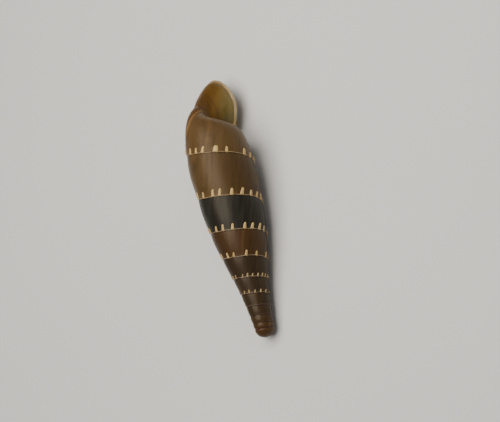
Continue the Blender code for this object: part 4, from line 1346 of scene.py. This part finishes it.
def fold_finish():
    material, tree, shader = new_finish("fold_enamel", 0.28)
    rise = point_value(tree, "rise")
    mottle = place_group(tree, MOTTLE, along=sums(tree, "MULTIPLY", rise, 2.0), across=0.0, size_mm=0.5)
    colour = ramp(tree, rise, ((0.0, "94744c"), (0.45, "c8b48c"), (1.0, "dccdaa")))
    colour = mixed(tree, colour, paint("a48a60"), rescale(tree, mottle["Tone"], 0.5, 0.75, 0.0, 0.4))
    feed(tree, colour, shader.inputs["Base Color"])
    feed(tree, bump(tree, mottle["Speck"], 0.004, 0.4), shader.inputs["Normal"])
    return material


lip.data.materials.append(lip_finish())
fold_enamel = fold_finish()
for fold in folds:
    fold.data.materials.append(fold_enamel)

# %% [markdown]
# ### Flesh and eyes
# The flesh is moist and slightly see-through. Its back and feelers are brown grey, its sides and sole pale,
# and the furrows between the warts are lighter than their tops. The eyes are black and wet.

# %% The finishes of flesh and eyes
def place_in_mm(tree):
    """The place of a spot on the model, in mm: along, sideways and up."""
    parts = add(tree, "ShaderNodeSeparateXYZ")
    feed(tree, add(tree, "ShaderNodeTexCoord").outputs["Object"], parts.inputs[0])
    return [sums(tree, "DIVIDE", parts.outputs[axis], MM) for axis in "XYZ"]


def flesh_finish():
    material, tree, shader = new_finish("moist_flesh", 0.36)
    along, side, height = place_in_mm(tree)
    wart, bulb = point_value(tree, "wart"), point_value(tree, "bulb")
    mottle = place_group(tree, MOTTLE, along=sums(tree, "ADD", along, height), across=side, size_mm=0.6)
    colour = ramp(tree, sums(tree, "DIVIDE", height, 2.0), (
        (0.0, "b09a72"), (0.10, "a08a66"), (0.24, "7c6850"),
        (0.42, "5a4a3c"), (0.62, "6c5a46"), (0.85, "b49c74"),
    ))
    colour = mixed(tree, colour, paint("5c4a3a"), sums(tree, "MULTIPLY", bulb, 0.6))
    colour = mixed(tree, colour, paint("3a2e26"), rescale(tree, mottle["Tone"], 0.48, 0.72, 0.0, 0.5))
    colour = mixed(tree, colour, paint("c4ae88"), rescale(tree, wart, 0.35, 0.0, 0.0, 0.35))
    feed(tree, colour, shader.inputs["Base Color"])
    feed(tree, rescale(tree, mottle["Speck"], 0.35, 0.65, 0.28, 0.46), shader.inputs["Roughness"])
    shader.inputs["Subsurface Weight"].default_value = 0.25
    shader.inputs["Subsurface Radius"].default_value = (0.9, 0.5, 0.3)
    shader.inputs["Subsurface Scale"].default_value = 0.25 * MM
    shader.inputs["Coat Weight"].default_value = 0.12
    shader.inputs["Coat Roughness"].default_value = 0.34
    feed(tree, bump(tree, mottle["Speck"], 0.010, 0.6), shader.inputs["Normal"])
    return material


def eye_finish():
    material, tree, shader = new_finish("eye_black_bead", 0.10)
    _, side, height = place_in_mm(tree)
    mottle = place_group(tree, MOTTLE, along=side, across=height, size_mm=0.12)
    feed(tree, mixed(tree, paint("0c0a09"), paint("241a16"), mottle["Tone"]), shader.inputs["Base Color"])
    shader.inputs["Coat Weight"].default_value = 1.0
    shader.inputs["Coat Roughness"].default_value = 0.04
    return material


skin.data.materials.append(flesh_finish())
eye_black = eye_finish()
for eye in eyes:
    eye.data.materials.append(eye_black)

# %% [markdown]
# ## What stands for what
# Every piece rides on the one body, and the solids it stands for are hidden.

# %% Telling the frame
SPIRE_NODES = ["shell_apex"] + [f"shell_spire_whorl_{k}" for k in (1, 2, 3, 4)]
FEELER_NODES = [f"feeler_{level}_{side}" for level in ("upper", "lower") for side in ("left", "right")]

pieces = (shell, lip, thread, papillae, skin, *folds, *eyes)
for piece in pieces:
    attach(piece, "root")
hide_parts(*SPIRE_NODES, "shell_penultimate_whorl", "shell_body_whorl", "shell_neck")
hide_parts("shell_lip")
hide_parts("foot", "tail", "neck", "head", "mantle_collar", *FEELER_NODES)
for eye, side in zip(eyes, ("left", "right")):
    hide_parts(f"eye_{side}")
print("pieces:", [piece.name for piece in pieces])

# %% [markdown]
# ## Floor, light and camera
# The floor is a plain pale sheet. A large soft light stands to the left of the view, so that each whorl
# carries a broad silky highlight left of its middle, and a weaker one stands above. The camera looks down on
# the shell's right side and is rolled so that the shell stands almost upright, its mouth at the top.

# %% The stage
FLOOR_SIZE = 1.6


def make_floor():
    mesh = bpy.data.meshes.new("floor")
    half = FLOOR_SIZE / 2
    corners = [(-half, -half, 0), (half, -half, 0), (half, half, 0), (-half, half, 0)]
    mesh.from_pydata(corners, [], [(0, 1, 2, 3)])
    floor = placed("floor", mesh)
    material, tree, shader = new_finish("floor_paper", 0.85)
    place = add(tree, "ShaderNodeTexCoord").outputs["Object"]
    tone = clouds(tree, place, 40.0)
    feed(tree, mixed(tree, paint("d6d4d0"), paint("dddbd7"), tone), shader.inputs["Base Color"])
    floor.data.materials.append(material)


make_floor()
print("floor:", FLOOR_SIZE, "m wide")

# %% The viewing angle
CAMERA_AZIMUTH = math.radians(-30)
CAMERA_ELEVATION = math.radians(48)
CAMERA_ROLL = math.radians(-76.13)
CAMERA_DISTANCE = 0.0727
CAMERA_LENS = 102.0


def view_axes():
    """Unit vectors towards the camera, to the view's right and up."""
    level = Vector((math.cos(CAMERA_AZIMUTH), math.sin(CAMERA_AZIMUTH), 0))
    ahead = Vector((-math.sin(CAMERA_AZIMUTH), math.cos(CAMERA_AZIMUTH), 0))
    toward = Vector((0, 0, math.sin(CAMERA_ELEVATION))) - ahead * math.cos(CAMERA_ELEVATION)
    upright = toward.cross(level)
    right = math.cos(CAMERA_ROLL) * level + math.sin(CAMERA_ROLL) * upright
    up = -math.sin(CAMERA_ROLL) * level + math.cos(CAMERA_ROLL) * upright
    return toward, right, up


TOWARD, RIGHT, UP = view_axes()
print("towards the camera:", [round(c, 3) for c in TOWARD])

# %% Camera
VIEW_OFFSET = (1.13, -0.512, -0.57)


def make_camera():
    """A long lens, aimed a little beside the model's middle, in mm to the view's right, up and towards it."""
    middle = (CAD_BOX[0] + CAD_BOX[1]) / 2
    right, up, near = VIEW_OFFSET
    aim = middle + (RIGHT * right + UP * up + TOWARD * near) * MM
    data = bpy.data.cameras.new("camera")
    data.lens = CAMERA_LENS
    data.sensor_width = 36.0
    data.clip_start = 0.001
    data.clip_end = 10.0
    camera = placed("camera", data)
    pose = Matrix((RIGHT, UP, TOWARD)).transposed().to_4x4()
    camera.matrix_world = Matrix.Translation(aim + TOWARD * CAMERA_DISTANCE) @ pose
    bpy.context.scene.camera = camera
    return aim


AIM = make_camera()

# %% Lights
# (name, way from the model as the view's right, up and towards it, distance and size in mm, watts, colour)
LIGHTS = (
    ("window_light", (-0.86, 0.36, 0.92), 70, (60, 80), 0.080, (1.0, 0.965, 0.91)),
    ("top_light", (0.0, 1.0, 0.7), 90, (60, 60), 0.010, (1.0, 1.0, 1.0)),
)


def make_light(name, direction, distance, size, watts, colour):
    data = bpy.data.lights.new(name, "AREA")
    data.shape = "RECTANGLE"
    data.size, data.size_y = size[0] * MM, size[1] * MM
    data.energy = watts
    data.color = colour
    light = placed(name, data)
    way = (RIGHT * direction[0] + UP * direction[1] + TOWARD * direction[2]).normalized()
    light.location = AIM + way * distance * MM
    light.rotation_mode = "QUATERNION"
    light.rotation_quaternion = way.to_track_quat("Z", "Y")
    return light


for spec in LIGHTS:
    light = make_light(*spec)
    print(spec[0], "at height", round(light.location.z / MM, 1), "mm")

# %% [markdown]
# ### Light from afar
# A weak light from very far off keeps the far floor as bright as the room behind it, so no line parts them.

# %% The far light
FAR_STRENGTH = 0.17
FAR_SPREAD = math.radians(60)

far_data = bpy.data.lights.new("far_light", "SUN")
far_data.energy = FAR_STRENGTH
far_data.angle = FAR_SPREAD
far_data.color = (0.93, 0.96, 1.0)
placed("far_light", far_data)
print("far light:", FAR_STRENGTH, "watts for each square metre")

# %% Room light
WORLD_STRENGTH = 0.15

world = bpy.data.worlds.new("studio")
world.use_nodes = True
background = world.node_tree.nodes["Background"]
background.inputs["Color"].default_value = (0.90, 0.92, 0.95, 1.0)
background.inputs["Strength"].default_value = WORLD_STRENGTH
bpy.context.scene.world = world
print("room light:", WORLD_STRENGTH)
